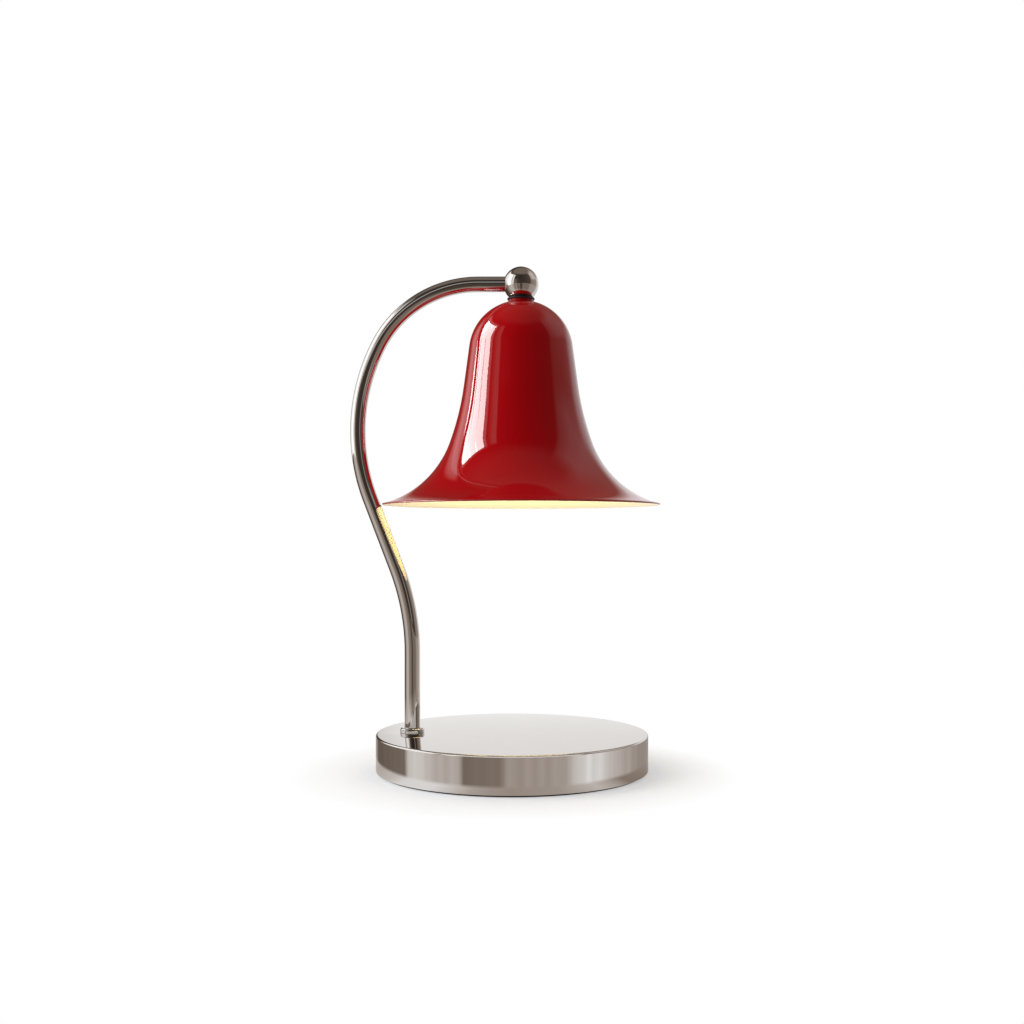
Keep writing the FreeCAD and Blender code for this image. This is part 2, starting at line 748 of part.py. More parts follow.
def make_shade():
    """The bell: a dome, a near-upright side and a wide flare, one sheet thick."""
    wall = val("shade_wall")
    slope = val("shade_start_angle")
    top = val(SHADE_TOP)
    first = val("collar_radius")

    def steps(inset):
        return [(val("shade_dome_bend") - inset, -val("shade_dome_angle")),
                (val("shade_side_run"),),
                (val("shade_side_bend") + inset, val("shade_side_angle")),
                (val("shade_flare_bend") + inset, val("shade_flare_angle"))]

    outer_start = FreeCAD.Vector(first, 0, top)
    inner_start = outer_start - heading(90 - slope) * wall
    outer, outer_end, outer_turn = chain(outer_start, -slope, steps(0))
    inner, inner_end, inner_turn = chain(inner_start, -slope, steps(wall))
    rim_middle = (outer_end + inner_end) * 0.5 + heading(outer_turn) * (wall / 2)
    rim = Part.Arc(outer_end, rim_middle, inner_end).toShape()
    hole = val("stem_radius + fit_gap")
    lip = FreeCAD.Vector(hole, 0, top)
    under = FreeCAD.Vector(hole, 0, inner_start.z)
    crown = [Part.makeLine(lip, outer_start)]
    roof = [Part.makeLine(inner_start, under), Part.makeLine(under, lip)]
    profile = crown + outer + [rim] + inner[::-1] + roof
    face = Part.Face(Part.Wire(Part.__sortEdges__(profile)))
    bell = face.revolve(FreeCAD.Vector(0, 0, 0), FreeCAD.Vector(0, 0, 1), 360)
    shade = direct_piece("shade", bell)
    shade.Placement = FreeCAD.Placement(FreeCAD.Vector(val("shade_x"), 0, 0),
                                        FreeCAD.Rotation())
    print("shade rim radius %.2f at height %.2f" % (outer_end.x, outer_end.z))


def make_shade_nut():
    bar = hexagon("shade_nut_bar", "shade_nut_width", "shade_nut_height - fit_gap",
                  x="shade_x", z=BOSS_TOP)
    hole = cylinder("shade_nut_hole", "stem_radius + fit_gap", "2 * shade_nut_height",
                    x="shade_x", z=BOSS_TOP + " - overcut")
    add_node("shade_nut", cut("shade_nut_cut", bar, [hole]))


# Bulb holder

# The two holder screws stand square to the line of the two bulb pins

HOLDER_SCREW_TURNS = (90, 270)


def make_holder_bracket():
    bracket = turn_piece("holder_bracket", [
        ("stem_radius + fit_gap", BOSS_TOP),
        ("stem_radius + fit_gap", STEM_BOTTOM),
        ("stem_bore", STEM_BOTTOM),
        ("stem_bore", HOLDER_TOP),
        ("bracket_radius", HOLDER_TOP),
        ("bracket_radius", BRACKET_TOP),
        ("bracket_boss_radius", BRACKET_TOP),
        ("bracket_boss_radius", BOSS_TOP),
    ], x="shade_x")
    holes = []
    for turn in HOLDER_SCREW_TURNS:
        holes.append(("holder_screw_circle * cos(%g)" % turn,
                      "holder_screw_circle * sin(%g)" % turn,
                      "holder_screw_radius + fit_gap"))
    drill(bracket, "XY_Plane", BRACKET_TOP, "2 * bracket_thickness", holes)


def polar(radius, degrees, height):
    """A point at a radius, a turn about the upright axis and a height."""
    angle = math.radians(degrees)
    return FreeCAD.Vector(radius * math.cos(angle), radius * math.sin(angle), height)


def arc_slot(radius, half_width, low, high, first, last):
    """A bar with round ends that follows a circle between two turns."""
    def cap(degrees, beyond):
        middle = polar(radius, degrees, low)
        ahead = polar(1, degrees + 90 * beyond, 0) * half_width
        ends = [polar(radius + half_width * beyond, degrees, low),
                polar(radius - half_width * beyond, degrees, low)]
        return Part.Arc(ends[0], middle + ahead, ends[1]).toShape()

    def side(offset):
        spots = [polar(radius + offset, turn, low)
                 for turn in (first, 0.5 * (first + last), last)]
        return Part.Arc(*spots).toShape()

    edges = [side(half_width), cap(last, 1), side(-half_width), cap(first, -1)]
    outline = Part.Wire(Part.__sortEdges__(edges))
    return Part.Face(outline).extrude(FreeCAD.Vector(0, 0, high - low))


def make_lamp_holder():
    """A ceramic holder with two keyhole slots that the bulb's pins turn into."""
    low = val(HOLDER_BOTTOM)
    body = Part.makeCylinder(val("holder_radius"), val("holder_height"),
                             FreeCAD.Vector(0, 0, low))
    roof = val(SLOT_ROOF)
    lip = low + val("slot_lip")
    head = val("pin_head_radius + pin_gap")
    neck = val("pin_neck_radius + pin_gap")
    spacing = val("pin_spacing")
    over = val("overcut")
    for side in (0, 180):
        last = side + val("unlock_angle")
        body = body.cut(arc_slot(spacing, head, lip, roof, side, last))
        body = body.cut(arc_slot(spacing, neck, low - over, lip + over, side, last))
        body = body.cut(Part.makeCylinder(head, lip - low + 2 * over,
                                          polar(spacing, last, low - over)))
        body = body.cut(Part.makeCylinder(val("lead_radius + fit_gap"), val("holder_height"),
                                          polar(spacing, side, roof - over)))
    top = val(HOLDER_TOP)
    depth = val("holder_cavity_depth")
    body = body.cut(Part.makeCylinder(val("holder_cavity_radius"), depth + over,
                                      FreeCAD.Vector(0, 0, top - depth)))
    for turn_screw in HOLDER_SCREW_TURNS:
        spot = polar(val("holder_screw_circle"), turn_screw, top - val("holder_screw_length"))
        body = body.cut(Part.makeCylinder(val("holder_screw_radius + fit_gap"),
                                          val("holder_screw_length") + over, spot))
    holder = direct_piece("lamp_holder", body.removeSplitter())
    holder.Placement = FreeCAD.Placement(FreeCAD.Vector(val("shade_x"), 0, 0),
                                         FreeCAD.Rotation())


def make_holder_screws():
    screws = []
    for number, turn in enumerate(HOLDER_SCREW_TURNS):
        x = "shade_x + holder_screw_circle * cos(%g)" % turn
        y = "holder_screw_circle * sin(%g)" % turn
        head = cylinder("holder_head_%d" % number, "holder_screw_head_radius",
                        "holder_screw_head_height", x, y, BRACKET_TOP)
        shank = cylinder("holder_shank_%d" % number, "holder_screw_radius",
                         "holder_screw_length + bracket_thickness - screw_tip_gap + "
                         "0.5 * holder_screw_head_height", x, y,
                         HOLDER_TOP + " - holder_screw_length + screw_tip_gap")
        screws.append(fuse("holder_screw_%d" % number, [head, shank]))
    add_node("holder_screws", group("holder_screw_group", screws))


def make_holder_contacts():
    contacts = []
    for number, side in enumerate(("+", "-")):
        contacts.append(box("contact_%d" % number, "contact_width", "contact_width",
                            "contact_thickness", x="shade_x %s pin_spacing" % side,
                            z=SLOT_ROOF + " - contact_thickness"))
    add_node("holder_contacts", group("contact_group", contacts))


def make_holder_leads():
    """Two wires climb from the contacts through the holder and up the stem's bore."""
    leads = []
    top = val(CABLE_TOP + " - loose_gap")
    for side in (1, -1):
        x = val("shade_x") + side * val("pin_spacing")
        near = val("shade_x") + side * val("lead_spacing")
        knee = val(HOLDER_TOP + " - holder_cavity_depth + lead_knee_rise")
        points = [FreeCAD.Vector(x, 0, val(SLOT_ROOF)), FreeCAD.Vector(x, 0, knee),
                  FreeCAD.Vector(near, 0, val(HOLDER_TOP + " - lead_knee_drop")),
                  FreeCAD.Vector(near, 0, top)]
        leads.append(sweep(bent_wire(points, val("lead_bend")), val("lead_radius")))
    direct_piece("holder_leads", Part.makeCompound(leads))


# Bulb

def make_bulb():
    radius = "bulb_cap_radius"
    turn_piece("bulb_cap", [
        ("0", CAP_BOTTOM),
        (radius, CAP_BOTTOM),
        (radius, BULB_TOP + " - bulb_cap_chamfer"),
        (radius + " - bulb_cap_chamfer", BULB_TOP),
        ("0", BULB_TOP),
    ], x="shade_x")
    pins = []
    for number, side in enumerate(("+", "-")):
        x = "shade_x %s pin_spacing" % side
        neck = cylinder("pin_neck_%d" % number, "pin_neck_radius", "pin_length", x,
                        z=BULB_TOP)
        head = cylinder("pin_head_%d" % number, "pin_head_radius", "pin_head_height", x,
                        z=BULB_TOP + " + pin_length - pin_head_height")
        pins.append(fuse("bulb_pin_%d" % number, [neck, head]))
    add_node("bulb_pins", group("bulb_pin_group", pins))
    rim = BULB_FACE + " + bulb_rim_height"
    (mid, mid_at), (low, low_at) = [
        ("bulb_neck_radius + %g * (bulb_face_radius - bulb_neck_radius)" % widening,
         "%s - %g * (%s - (%s))" % (CAP_BOTTOM, depth, CAP_BOTTOM, rim))
        for depth, widening in REFLECTOR_CURVE]
    turn_piece("bulb_reflector", [
        ("bulb_neck_radius", CAP_BOTTOM),
        (mid, mid_at),
        (low, low_at),
        ("bulb_face_radius", rim),
        ("bulb_face_radius", BULB_FACE),
        ("bulb_face_radius - bulb_wall", BULB_FACE),
        ("bulb_face_radius - bulb_wall", rim),
        (low + " - bulb_wall", low_at),
        (mid + " - bulb_wall", mid_at + " - 0.4 * bulb_wall"),
        ("bulb_neck_radius - bulb_wall", CAP_BOTTOM + " - bulb_wall"),
        ("capsule_radius + fit_gap", CAP_BOTTOM + " - bulb_wall"),
        ("capsule_radius + fit_gap", CAP_BOTTOM),
    ], x="shade_x")
    capsule = "capsule_radius"
    turn_piece("bulb_capsule", [
        ("0", CAP_BOTTOM),
        (capsule, CAP_BOTTOM),
        (capsule, CAP_BOTTOM + " - capsule_height + 0.7 * capsule_radius"),
        ("0.7 * capsule_radius", CAP_BOTTOM + " - capsule_height + 0.2 * capsule_radius"),
        ("0", CAP_BOTTOM + " - capsule_height"),
    ], x="shade_x")
    lens = "bulb_face_radius - bulb_wall - bulb_lens_gap"
    turn_piece("bulb_lens", [
        ("0", BULB_FACE + " + bulb_lens_setback"),
        (lens, BULB_FACE + " + bulb_lens_setback"),
        (lens, BULB_FACE + " + bulb_lens_setback + bulb_lens_thickness"),
        ("0", BULB_FACE + " + bulb_lens_setback + bulb_lens_thickness"),
    ], x="shade_x")


# Cord inlet, dimmer and wiring in the base

BACK = FreeCAD.Vector(0, 1, 0)


def make_cord_inlet():
    outer = lying_cylinder("inlet_flange", "inlet_flange_radius", "inlet_flange_thickness",
                           BACK, y="base_radius", z="service_height")
    barrel = lying_cylinder("inlet_barrel", "inlet_barrel_radius",
                            "inlet_barrel_length + 0.5 * inlet_flange_thickness", BACK,
                            y="base_radius - inlet_barrel_length", z="service_height")
    bore = lying_cylinder("inlet_hole", "inlet_bore", "4 * inlet_barrel_length", BACK,
                          y="base_radius - 2 * inlet_barrel_length", z="service_height")
    whole = fuse("inlet_whole", [outer, barrel])
    add_node("cord_gland", cut("inlet_cut", whole, [bore]))
    wall = "sqrt((base_radius - base_wall) ^ 2 - (inlet_nut_width / sqrt(3) + fit_gap) ^ 2)"
    seat = wall + " - inlet_nut_height"
    bar = hexagon("inlet_nut_bar", "inlet_nut_width", "inlet_nut_height", y=seat,
                  z="service_height")
    bar.Placement = FreeCAD.Placement(bar.Placement.Base,
                                      FreeCAD.Rotation(FreeCAD.Vector(0, 0, 1), BACK))
    thread = lying_cylinder("inlet_nut_hole", "inlet_barrel_radius + fit_gap",
                            "3 * inlet_nut_height", BACK, y=seat + " - overcut",
                            z="service_height")
    add_node("gland_nut", cut("inlet_nut_cut", bar, [thread]))


def radial_piece(label, item):
    """Turn a piece modelled about a vertical axis so that it points out of the wall."""
    angle = val("dimmer_angle")
    outward = FreeCAD.Vector(math.sin(math.radians(angle)), math.cos(math.radians(angle)), 0)
    item.Placement = FreeCAD.Placement(FreeCAD.Vector(0, 0, val("service_height")),
                                       FreeCAD.Rotation(FreeCAD.Vector(0, 0, 1), outward))
    return add_node(label, item)


def make_dimmer():
    front = "sqrt((base_radius - base_wall) ^ 2 - dimmer_body_radius ^ 2) - fit_gap"
    can = cylinder("dimmer_can", "dimmer_body_radius", "dimmer_body_depth",
                   z=front + " - dimmer_body_depth")
    bush = cylinder("dimmer_bush", "dimmer_bush_radius", "dimmer_bush_length + overcut",
                    z=front + " - overcut")
    bore = cylinder("dimmer_bore", "dimmer_shaft_radius + fit_gap",
                    "dimmer_bush_length + 0.5 * dimmer_body_depth + overcut",
                    z=front + " - 0.5 * dimmer_body_depth")
    whole = fuse("dimmer_whole", [can, bush])
    radial_piece("dimmer_pot", cut("dimmer_pot_cut", whole, [bore]))
    bar = hexagon("dimmer_nut_bar", "dimmer_nut_width", "dimmer_nut_height", z="base_radius")
    thread = cylinder("dimmer_nut_hole", "dimmer_bush_radius + fit_gap",
                      "3 * dimmer_nut_height", z="base_radius - overcut")
    radial_piece("dimmer_nut", cut("dimmer_nut_cut", bar, [thread]))
    low = front + " - dimmer_shaft_depth"
    top = KNOB_FOOT + " + knob_skirt_depth + knob_bore_depth - loose_gap"
    shaft = cylinder("dimmer_rod", "dimmer_shaft_radius", top + " - (" + low + ")", z=low)
    radial_piece("dimmer_shaft", group("dimmer_shaft_group", [shaft]))


def make_dimmer_knob():
    """A knob with a hollow skirt over the nut, a blind bore and a ribbed grip."""
    foot = KNOB_FOOT
    top = foot + " + knob_height"
    skin = turned_body("knob_skin", [
        ("0", foot),
        ("knob_radius", foot),
        ("knob_radius", top),
        ("0", top),
    ])
    round_edge(skin, "knob_radius", top, "knob_round")
    tools = [
        cylinder("knob_skirt", "knob_skirt_radius", "knob_skirt_depth + overcut",
                 z=foot + " - overcut"),
        cylinder("knob_bore", "dimmer_shaft_radius + fit_gap",
                 "knob_skirt_depth + knob_bore_depth + overcut", z=foot + " - overcut"),
    ]
    count = int(round(val("knob_rib_count")))
    for number in range(count):
        turn = 360.0 * number / count
        tools.append(cylinder("knob_groove_%d" % number, "knob_rib_radius", "knob_height",
                              "(knob_radius + knob_rib_offset) * cos(%g)" % turn,
                              "(knob_radius + knob_rib_offset) * sin(%g)" % turn,
                              foot + " - knob_rib_stop"))
    mark = box("knob_mark", "knob_mark_length", "knob_mark_width", "2 * knob_mark_depth",
               x="knob_mark_place", z=top + " - knob_mark_depth")
    radial_piece("dimmer_knob", cut("knob_cut", skin, tools + [mark]))


def make_terminal_block():
    low = COVER_TOP
    body = box("block_body", "block_length", "block_width", "block_height",
               x="block_x", y="block_y", z=low)
    tools = []
    screws = []
    port_z = PORT_LEVEL
    along = FreeCAD.Vector(1, 0, 0)
    for number, side in enumerate(("+", "-")):
        y = "block_y %s 0.5 * block_pole_spacing" % side
        tools.append(lying_cylinder("port_left_%d" % number, "block_port_radius",
                                    "block_port_depth + overcut", along,
                                    x="block_x - 0.5 * block_length - overcut", y=y, z=port_z))
        tools.append(lying_cylinder("port_right_%d" % number, "block_port_radius",
                                    "block_port_depth + overcut", along,
                                    x="block_x + 0.5 * block_length - block_port_depth",
                                    y=y, z=port_z))
        for end, sign in enumerate(("-", "+")):
            x = "block_x %s 0.5 * block_screw_spacing" % sign
            tools.append(cylinder("well_%d_%d" % (number, end),
                                  "block_screw_radius + fit_gap", "block_screw_height + overcut",
                                  x, y, low + " + block_height - block_screw_height"))
            head = cylinder("clamp_%d_%d" % (number, end), "block_screw_radius",
                            "block_screw_height - block_screw_sink", x, y,
                            low + " + block_height - block_screw_height")
            slot = box("clamp_slot_%d_%d" % (number, end), "1.7 * block_screw_radius",
                       "0.3 * block_screw_radius", "block_screw_height", x, y,
                       low + " + block_height - block_screw_sink - block_slot_depth")
            screws.append(cut("terminal_screw_%d_%d" % (number, end), head, [slot]))
    add_node("terminal_block", cut("block_cut", body, tools))
    add_node("terminal_screws", group("terminal_screw_group", screws))


def make_base_leads():
    """Two wires from the arm's cable to the terminals and two on to the dimmer."""
    level = val(PORT_LEVEL)
    left = val("block_x - 0.5 * block_length + block_port_depth")
    right = val("block_x + 0.5 * block_length - block_port_depth")
    outward = polar(1, 90 - val("dimmer_angle"), 0)
    sideways = polar(1, -val("dimmer_angle"), 0)
    front = math.sqrt(val(INNER_WALL) ** 2 - val("dimmer_body_radius") ** 2)
    can_back = front - val("dimmer_body_depth + fit_gap")
    outer_port = val("block_y + 0.5 * block_pole_spacing")
    reach = math.sqrt(val(INNER_WALL + " - lead_wall_gap") ** 2 - outer_port ** 2)
    arm_leads = []
    dimmer_leads = []
    for side in (1, -1):
        shift = side * val("lead_spacing")
        port_y = val("block_y") + side * val("0.5 * block_pole_spacing")
        foot_x = val("foot_x") - shift
        arm_leads.append([
            FreeCAD.Vector(foot_x, 0, val(CABLE_TAIL)),
            FreeCAD.Vector(foot_x, 0, level),
            FreeCAD.Vector(val("lead_spacing") - reach - shift, port_y, level),
            FreeCAD.Vector(left, port_y, level)])
        pot = outward * can_back - sideways * (2 * shift)
        pot.z = val("service_height")
        straight = pot - outward * val("lead_straight")
        below = straight - outward * val("lead_climb")
        below.z = level
        dimmer_leads.append([
            FreeCAD.Vector(right, port_y, level),
            FreeCAD.Vector(right + val("lead_end_run"), port_y, level),
            below, straight, pot])
    for label, routes in (("arm_leads", arm_leads), ("dimmer_leads", dimmer_leads)):
        wires = [sweep(bent_wire(route, val("lead_bend")), val("lead_radius"))
                 for route in routes]
        direct_piece(label, Part.makeCompound(wires))


def check_document():
    """Stop if any object failed, or if a piece is empty or not valid."""
    for item in doc.Objects:
        if "Invalid" in item.State or "Error" in item.State:
            raise ValueError("failed object: " + item.Label)
    for label, item in nodes.items():
        if item.Shape.isNull() or not item.Shape.isValid() or item.Shape.Volume <= 0:
            raise ValueError("bad shape: " + label)


def main():
    make_dimmer_hole(make_base_shell())
    make_ballast()
    make_bottom_cover()
    make_foot_pad()
    make_cover_screws()
    make_foot_ring()
    make_arm_tube()
    make_arm_fasteners()
    make_ball_elbow()
    make_grub_screw()
    make_arm_cable()
    make_neck()
    make_shade()
    make_shade_nut()
    make_holder_bracket()
    make_lamp_holder()
    make_holder_screws()
    make_holder_contacts()
    make_holder_leads()
    make_bulb()
    make_cord_inlet()
    make_dimmer()
    make_dimmer_knob()
    make_terminal_block()
    make_base_leads()
    doc.recompute()
    check_document()
    os.makedirs("parts", exist_ok=True)
    for label, item in nodes.items():
        item.Shape.exportStep("parts/" + label + ".step")
        extent = item.Shape.BoundBox
        print("%-16s %d solid(s) %9.1f mm3  z %.2f to %.2f" % (
            label, len(item.Shape.Solids), item.Shape.Volume, extent.ZMin, extent.ZMax))


main()
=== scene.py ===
"""Looks of the candle warmer lamp: polished chrome base, arm and ball, a gloss red bell shade
with a cream inside, and a lit reflector bulb, on a white floor in soft studio light."""

import json
import math

import bmesh
import bpy
from mathutils import Matrix, Vector


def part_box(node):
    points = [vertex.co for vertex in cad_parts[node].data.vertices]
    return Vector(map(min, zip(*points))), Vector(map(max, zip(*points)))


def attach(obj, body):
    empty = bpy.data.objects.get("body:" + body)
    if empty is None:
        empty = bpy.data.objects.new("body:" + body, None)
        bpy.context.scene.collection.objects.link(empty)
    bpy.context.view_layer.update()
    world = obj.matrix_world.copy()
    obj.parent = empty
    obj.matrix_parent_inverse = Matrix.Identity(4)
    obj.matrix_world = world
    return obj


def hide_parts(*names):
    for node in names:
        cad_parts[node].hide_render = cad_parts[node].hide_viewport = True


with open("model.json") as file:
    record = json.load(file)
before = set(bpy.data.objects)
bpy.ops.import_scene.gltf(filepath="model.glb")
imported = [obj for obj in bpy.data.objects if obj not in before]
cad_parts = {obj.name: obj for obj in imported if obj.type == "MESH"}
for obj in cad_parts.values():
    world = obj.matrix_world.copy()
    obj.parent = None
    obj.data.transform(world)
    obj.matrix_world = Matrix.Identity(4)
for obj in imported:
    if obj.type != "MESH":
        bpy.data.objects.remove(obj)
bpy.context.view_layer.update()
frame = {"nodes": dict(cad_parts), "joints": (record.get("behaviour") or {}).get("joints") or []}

MM = 0.001
FULL = 2 * math.pi
SHARP = math.radians(40)

# The camera, from the photograph's frame, horizon and focal length in pixels

PHOTO_SIZE = 1024
PHOTO_HORIZON = 541
PHOTO_FOCAL = 1228
CAMERA_DISTANCE = 0.635
CAMERA_HEIGHT = 0.1184

# Sizes that several pieces share: the gap of a plain fit, the bore round the stem, the
# length of a cutter and how far the bell's side leans where it leaves the collar

FIT_GAP = 0.05 * MM
STEM_BORE = 4.05 * MM
CUTTER = 10 * MM
SHADE_LEAN = 13.05

nodes = frame["nodes"]
joints = {joint["name"]: joint for joint in frame["joints"]}
scene = bpy.context.scene


# Places read from the frame

def middle(node):
    """The centre of a node's box."""
    low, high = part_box(node)
    return (low + high) / 2


def span(node, axis):
    """A node's lowest and highest place along an axis."""
    low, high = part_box(node)
    return low[axis], high[axis]


def radius_of(node):
    """Half of a node's width."""
    low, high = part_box(node)
    return (high.x - low.x) / 2


shade_x = middle("neck_collar").x
foot_x = middle("foot_ring").x
base_radius = radius_of("base_shell")
base_low, base_top = span("base_shell", 2)
tube_radius = (span("arm_tube", 1)[1] - span("arm_tube", 1)[0]) / 2
ball_radius = (span("ball_elbow", 1)[1] - span("ball_elbow", 1)[0]) / 2
ball_flat, ball_top = span("ball_elbow", 2)
arm_height = ball_top - ball_radius
shade_top = span("neck_collar", 2)[0]
collar_radius = radius_of("neck_collar")
bulb_face = span("bulb_reflector", 2)[0]
bulb_radius = radius_of("bulb_reflector")


# Outlines made of runs and tangent arcs

def heading(degrees):
    """A flat unit vector at an angle."""
    angle = math.radians(degrees)
    return Vector((math.cos(angle), math.sin(angle)))


def chain(start, degrees, steps, arc_step=3.0):
    """Points, last point and last angle of runs (length,) and bends (radius, turn)."""
    points = [Vector(start)]
    for step in steps:
        if len(step) == 1:
            points.append(points[-1] + heading(degrees) * step[0])
            continue
        radius, turn = step
        side = 1 if turn > 0 else -1
        centre = points[-1] + heading(degrees + 90 * side) * radius
        count = max(2, int(abs(turn) / arc_step))
        for number in range(1, count + 1):
            angle = degrees + turn * number / count
            points.append(centre - heading(angle + 90 * side) * radius)
        degrees += turn
    return points, points[-1], degrees


def eased(corners, sizes, steps=6):
    """A polyline whose corners are rounded, each by its own radius in sizes, or not at 0."""
    out = []
    count = len(corners)
    for index, corner in enumerate(corners):
        corner = Vector(corner)
        size = sizes[index]
        if size <= 0 or index in (0, count - 1):
            out.append(corner)
            continue
        before = (Vector(corners[index - 1]) - corner).normalized()
        after = (Vector(corners[index + 1]) - corner).normalized()
        half = before.angle(after) / 2
        reach = size / math.tan(half)
        centre = corner + (before + after).normalized() * (size / math.sin(half))
        first = corner + before * reach - centre
        turn = first.angle_signed(corner + after * reach - centre)
        for number in range(steps + 1):
            angle = -turn * number / steps
            out.append(centre + Matrix.Rotation(angle, 2) @ first)
    return out


# Meshes

def turned(name, outline, x=0.0, y=0.0, around=160, closed=False, rings=()):
    """A mesh turned about an upright axis from (radius, height) points. Faces get the
    material number of their stretch of the outline: rings lists (first point, number)."""
    mesh = bpy.data.meshes.new(name)
    bm = bmesh.new()
    columns = []
    for point in outline:
        radius, height = point[0], point[1]
        if radius < 1e-6:
            columns.append([bm.verts.new((x, y, height))])
            continue
        ring = []
        for number in range(around):
            angle = FULL * number / around
            ring.append(bm.verts.new((x + radius * math.cos(angle),
                                      y + radius * math.sin(angle), height)))
        columns.append(ring)
    pairs = list(zip(columns, columns[1:]))
    if closed:
        pairs.append((columns[-1], columns[0]))
    for index, (low, high) in enumerate(pairs):
        number_of = 0
        for first, number in rings:
            if index >= first:
                number_of = number
        for turn in range(around):
            after = (turn + 1) % around
            if len(low) == 1 and len(high) == 1:
                continue
            if len(low) == 1:
                corners = (low[0], high[after], high[turn])
            elif len(high) == 1:
                corners = (low[turn], low[after], high[0])
            else:
                corners = (low[turn], low[after], high[after], high[turn])
            face = bm.faces.new(corners)
            face.material_index = number_of
            face.smooth = True
    bmesh.ops.recalc_face_normals(bm, faces=bm.faces)
    bm.to_mesh(mesh)
    bm.free()
    mesh.set_sharp_from_angle(angle=SHARP)
    piece = bpy.data.objects.new(name, mesh)
    scene.collection.objects.link(piece)
    return piece


def carve(piece, cutters):
    """Cut solids out of a piece and drop the cutters."""
    for cutter in cutters:
        modifier = piece.modifiers.new("hole", "BOOLEAN")
        modifier.object = cutter
        modifier.solver = "EXACT"
    bpy.context.view_layer.update()
    depsgraph = bpy.context.evaluated_depsgraph_get()
    mesh = bpy.data.meshes.new_from_object(piece.evaluated_get(depsgraph))
    piece.modifiers.clear()
    piece.data = mesh
    mesh.set_sharp_from_angle(angle=SHARP)
    for cutter in cutters:
        bpy.data.objects.remove(cutter)


def post(name, radius, length, foot, direction, around=64):
    """A plain round cutter from a foot point along a direction."""
    outline = [(0, 0), (radius, 0), (radius, length), (0, length)]
    piece = turned(name, outline, around=around)
    turn = Vector((0, 0, 1)).rotation_difference(Vector(direction)).to_matrix().to_4x4()
    piece.data.transform(Matrix.Translation(Vector(foot)) @ turn)
    return piece


def dress(piece, body, finishes, slot, *replaced):
    """Give a piece its materials and its place in the frame."""
    if not piece.data.materials:
        for material in finishes:
            piece.data.materials.append(material)
    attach(piece, body)
    if replaced:
        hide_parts(*replaced)
    return piece


# Geometry node trees

def new_tree(name, inputs):
    """A geometry tree with named inputs, returned with its input and output nodes."""
    tree = bpy.data.node_groups.new(name, "GeometryNodeTree")
    tree.interface.new_socket("Geometry", in_out="INPUT", socket_type="NodeSocketGeometry")
    for label, kind in inputs:
        tree.interface.new_socket(label, in_out="INPUT", socket_type="NodeSocket" + kind)
    tree.interface.new_socket("Geometry", in_out="OUTPUT", socket_type="NodeSocketGeometry")
    return tree, tree.nodes.new("NodeGroupInput"), tree.nodes.new("NodeGroupOutput")


def finish_tree(tree, source, given, result):
    """End a tree: realise the instances and set the material."""
    realise = tree.nodes.new("GeometryNodeRealizeInstances")
    paint = tree.nodes.new("GeometryNodeSetMaterial")
    tree.links.new(source, realise.inputs["Geometry"])
    tree.links.new(realise.outputs["Geometry"], paint.inputs["Geometry"])
    tree.links.new(given.outputs["Material"], paint.inputs["Material"])
    tree.links.new(paint.outputs["Geometry"], result.inputs["Geometry"])


def tube_tree():
    """A round bar of a given radius along a curve, with closed ends."""
    tree, given, result = new_tree("bar_along_curve", [
        ("Radius", "Float"), ("Sides", "Int"), ("Material", "Material")])
    ring = tree.nodes.new("GeometryNodeCurvePrimitiveCircle")
    sweep = tree.nodes.new("GeometryNodeCurveToMesh")
    smooth = tree.nodes.new("GeometryNodeSetShadeSmooth")
    sweep.inputs["Fill Caps"].default_value = True
    tree.links.new(given.outputs["Sides"], ring.inputs["Resolution"])
    tree.links.new(given.outputs["Radius"], ring.inputs["Radius"])
    tree.links.new(given.outputs["Geometry"], sweep.inputs["Curve"])
    tree.links.new(ring.outputs["Curve"], sweep.inputs["Profile Curve"])
    tree.links.new(sweep.outputs["Mesh"], smooth.inputs["Geometry"])
    finish_tree(tree, smooth.outputs["Geometry"], given, result)
    return tree


def ring_tree():
    """Copies of a mesh set evenly round an upright axis."""
    tree, given, result = new_tree("set_round_axis", [
        ("Count", "Int"), ("Radius", "Float"), ("Material", "Material")])
    ring = tree.nodes.new("GeometryNodeCurvePrimitiveCircle")
    spots = tree.nodes.new("GeometryNodeCurveToPoints")
    place = tree.nodes.new("GeometryNodeInstanceOnPoints")
    tree.links.new(given.outputs["Radius"], ring.inputs["Radius"])
    tree.links.new(given.outputs["Count"], spots.inputs["Count"])
    tree.links.new(ring.outputs["Curve"], spots.inputs["Curve"])
    tree.links.new(spots.outputs["Points"], place.inputs["Points"])
    tree.links.new(spots.outputs["Rotation"], place.inputs["Rotation"])
    tree.links.new(given.outputs["Geometry"], place.inputs["Instance"])
    finish_tree(tree, place.outputs["Instances"], given, result)
    return tree


def grown(piece, tree, **values):
    """Run a tree on a piece and keep the result as a plain mesh object."""
    modifier = piece.modifiers.new(tree.name, "NODES")
    modifier.node_group = tree
    for item in tree.interface.items_tree:
        if item.in_out == "INPUT" and item.name in values:
            modifier[item.identifier] = values[item.name]
    bpy.context.view_layer.update()
    depsgraph = bpy.context.evaluated_depsgraph_get()
    mesh = bpy.data.meshes.new_from_object(piece.evaluated_get(depsgraph))
    name = piece.name
    bpy.data.objects.remove(piece)
    made = bpy.data.objects.new(name, mesh)
    scene.collection.objects.link(made)
    return made


def path_object(name, points):
    """A curve object of straight spans through close points."""
    curve = bpy.data.curves.new(name, "CURVE")
    curve.dimensions = "3D"
    spline = curve.splines.new("POLY")
    spline.points.add(len(points) - 1)
    for spot, point in zip(spline.points, points):
        spot.co = (point[0], point[1], point[2], 1.0)
    piece = bpy.data.objects.new(name, curve)
    scene.collection.objects.link(piece)
    return piece


# Shader groups

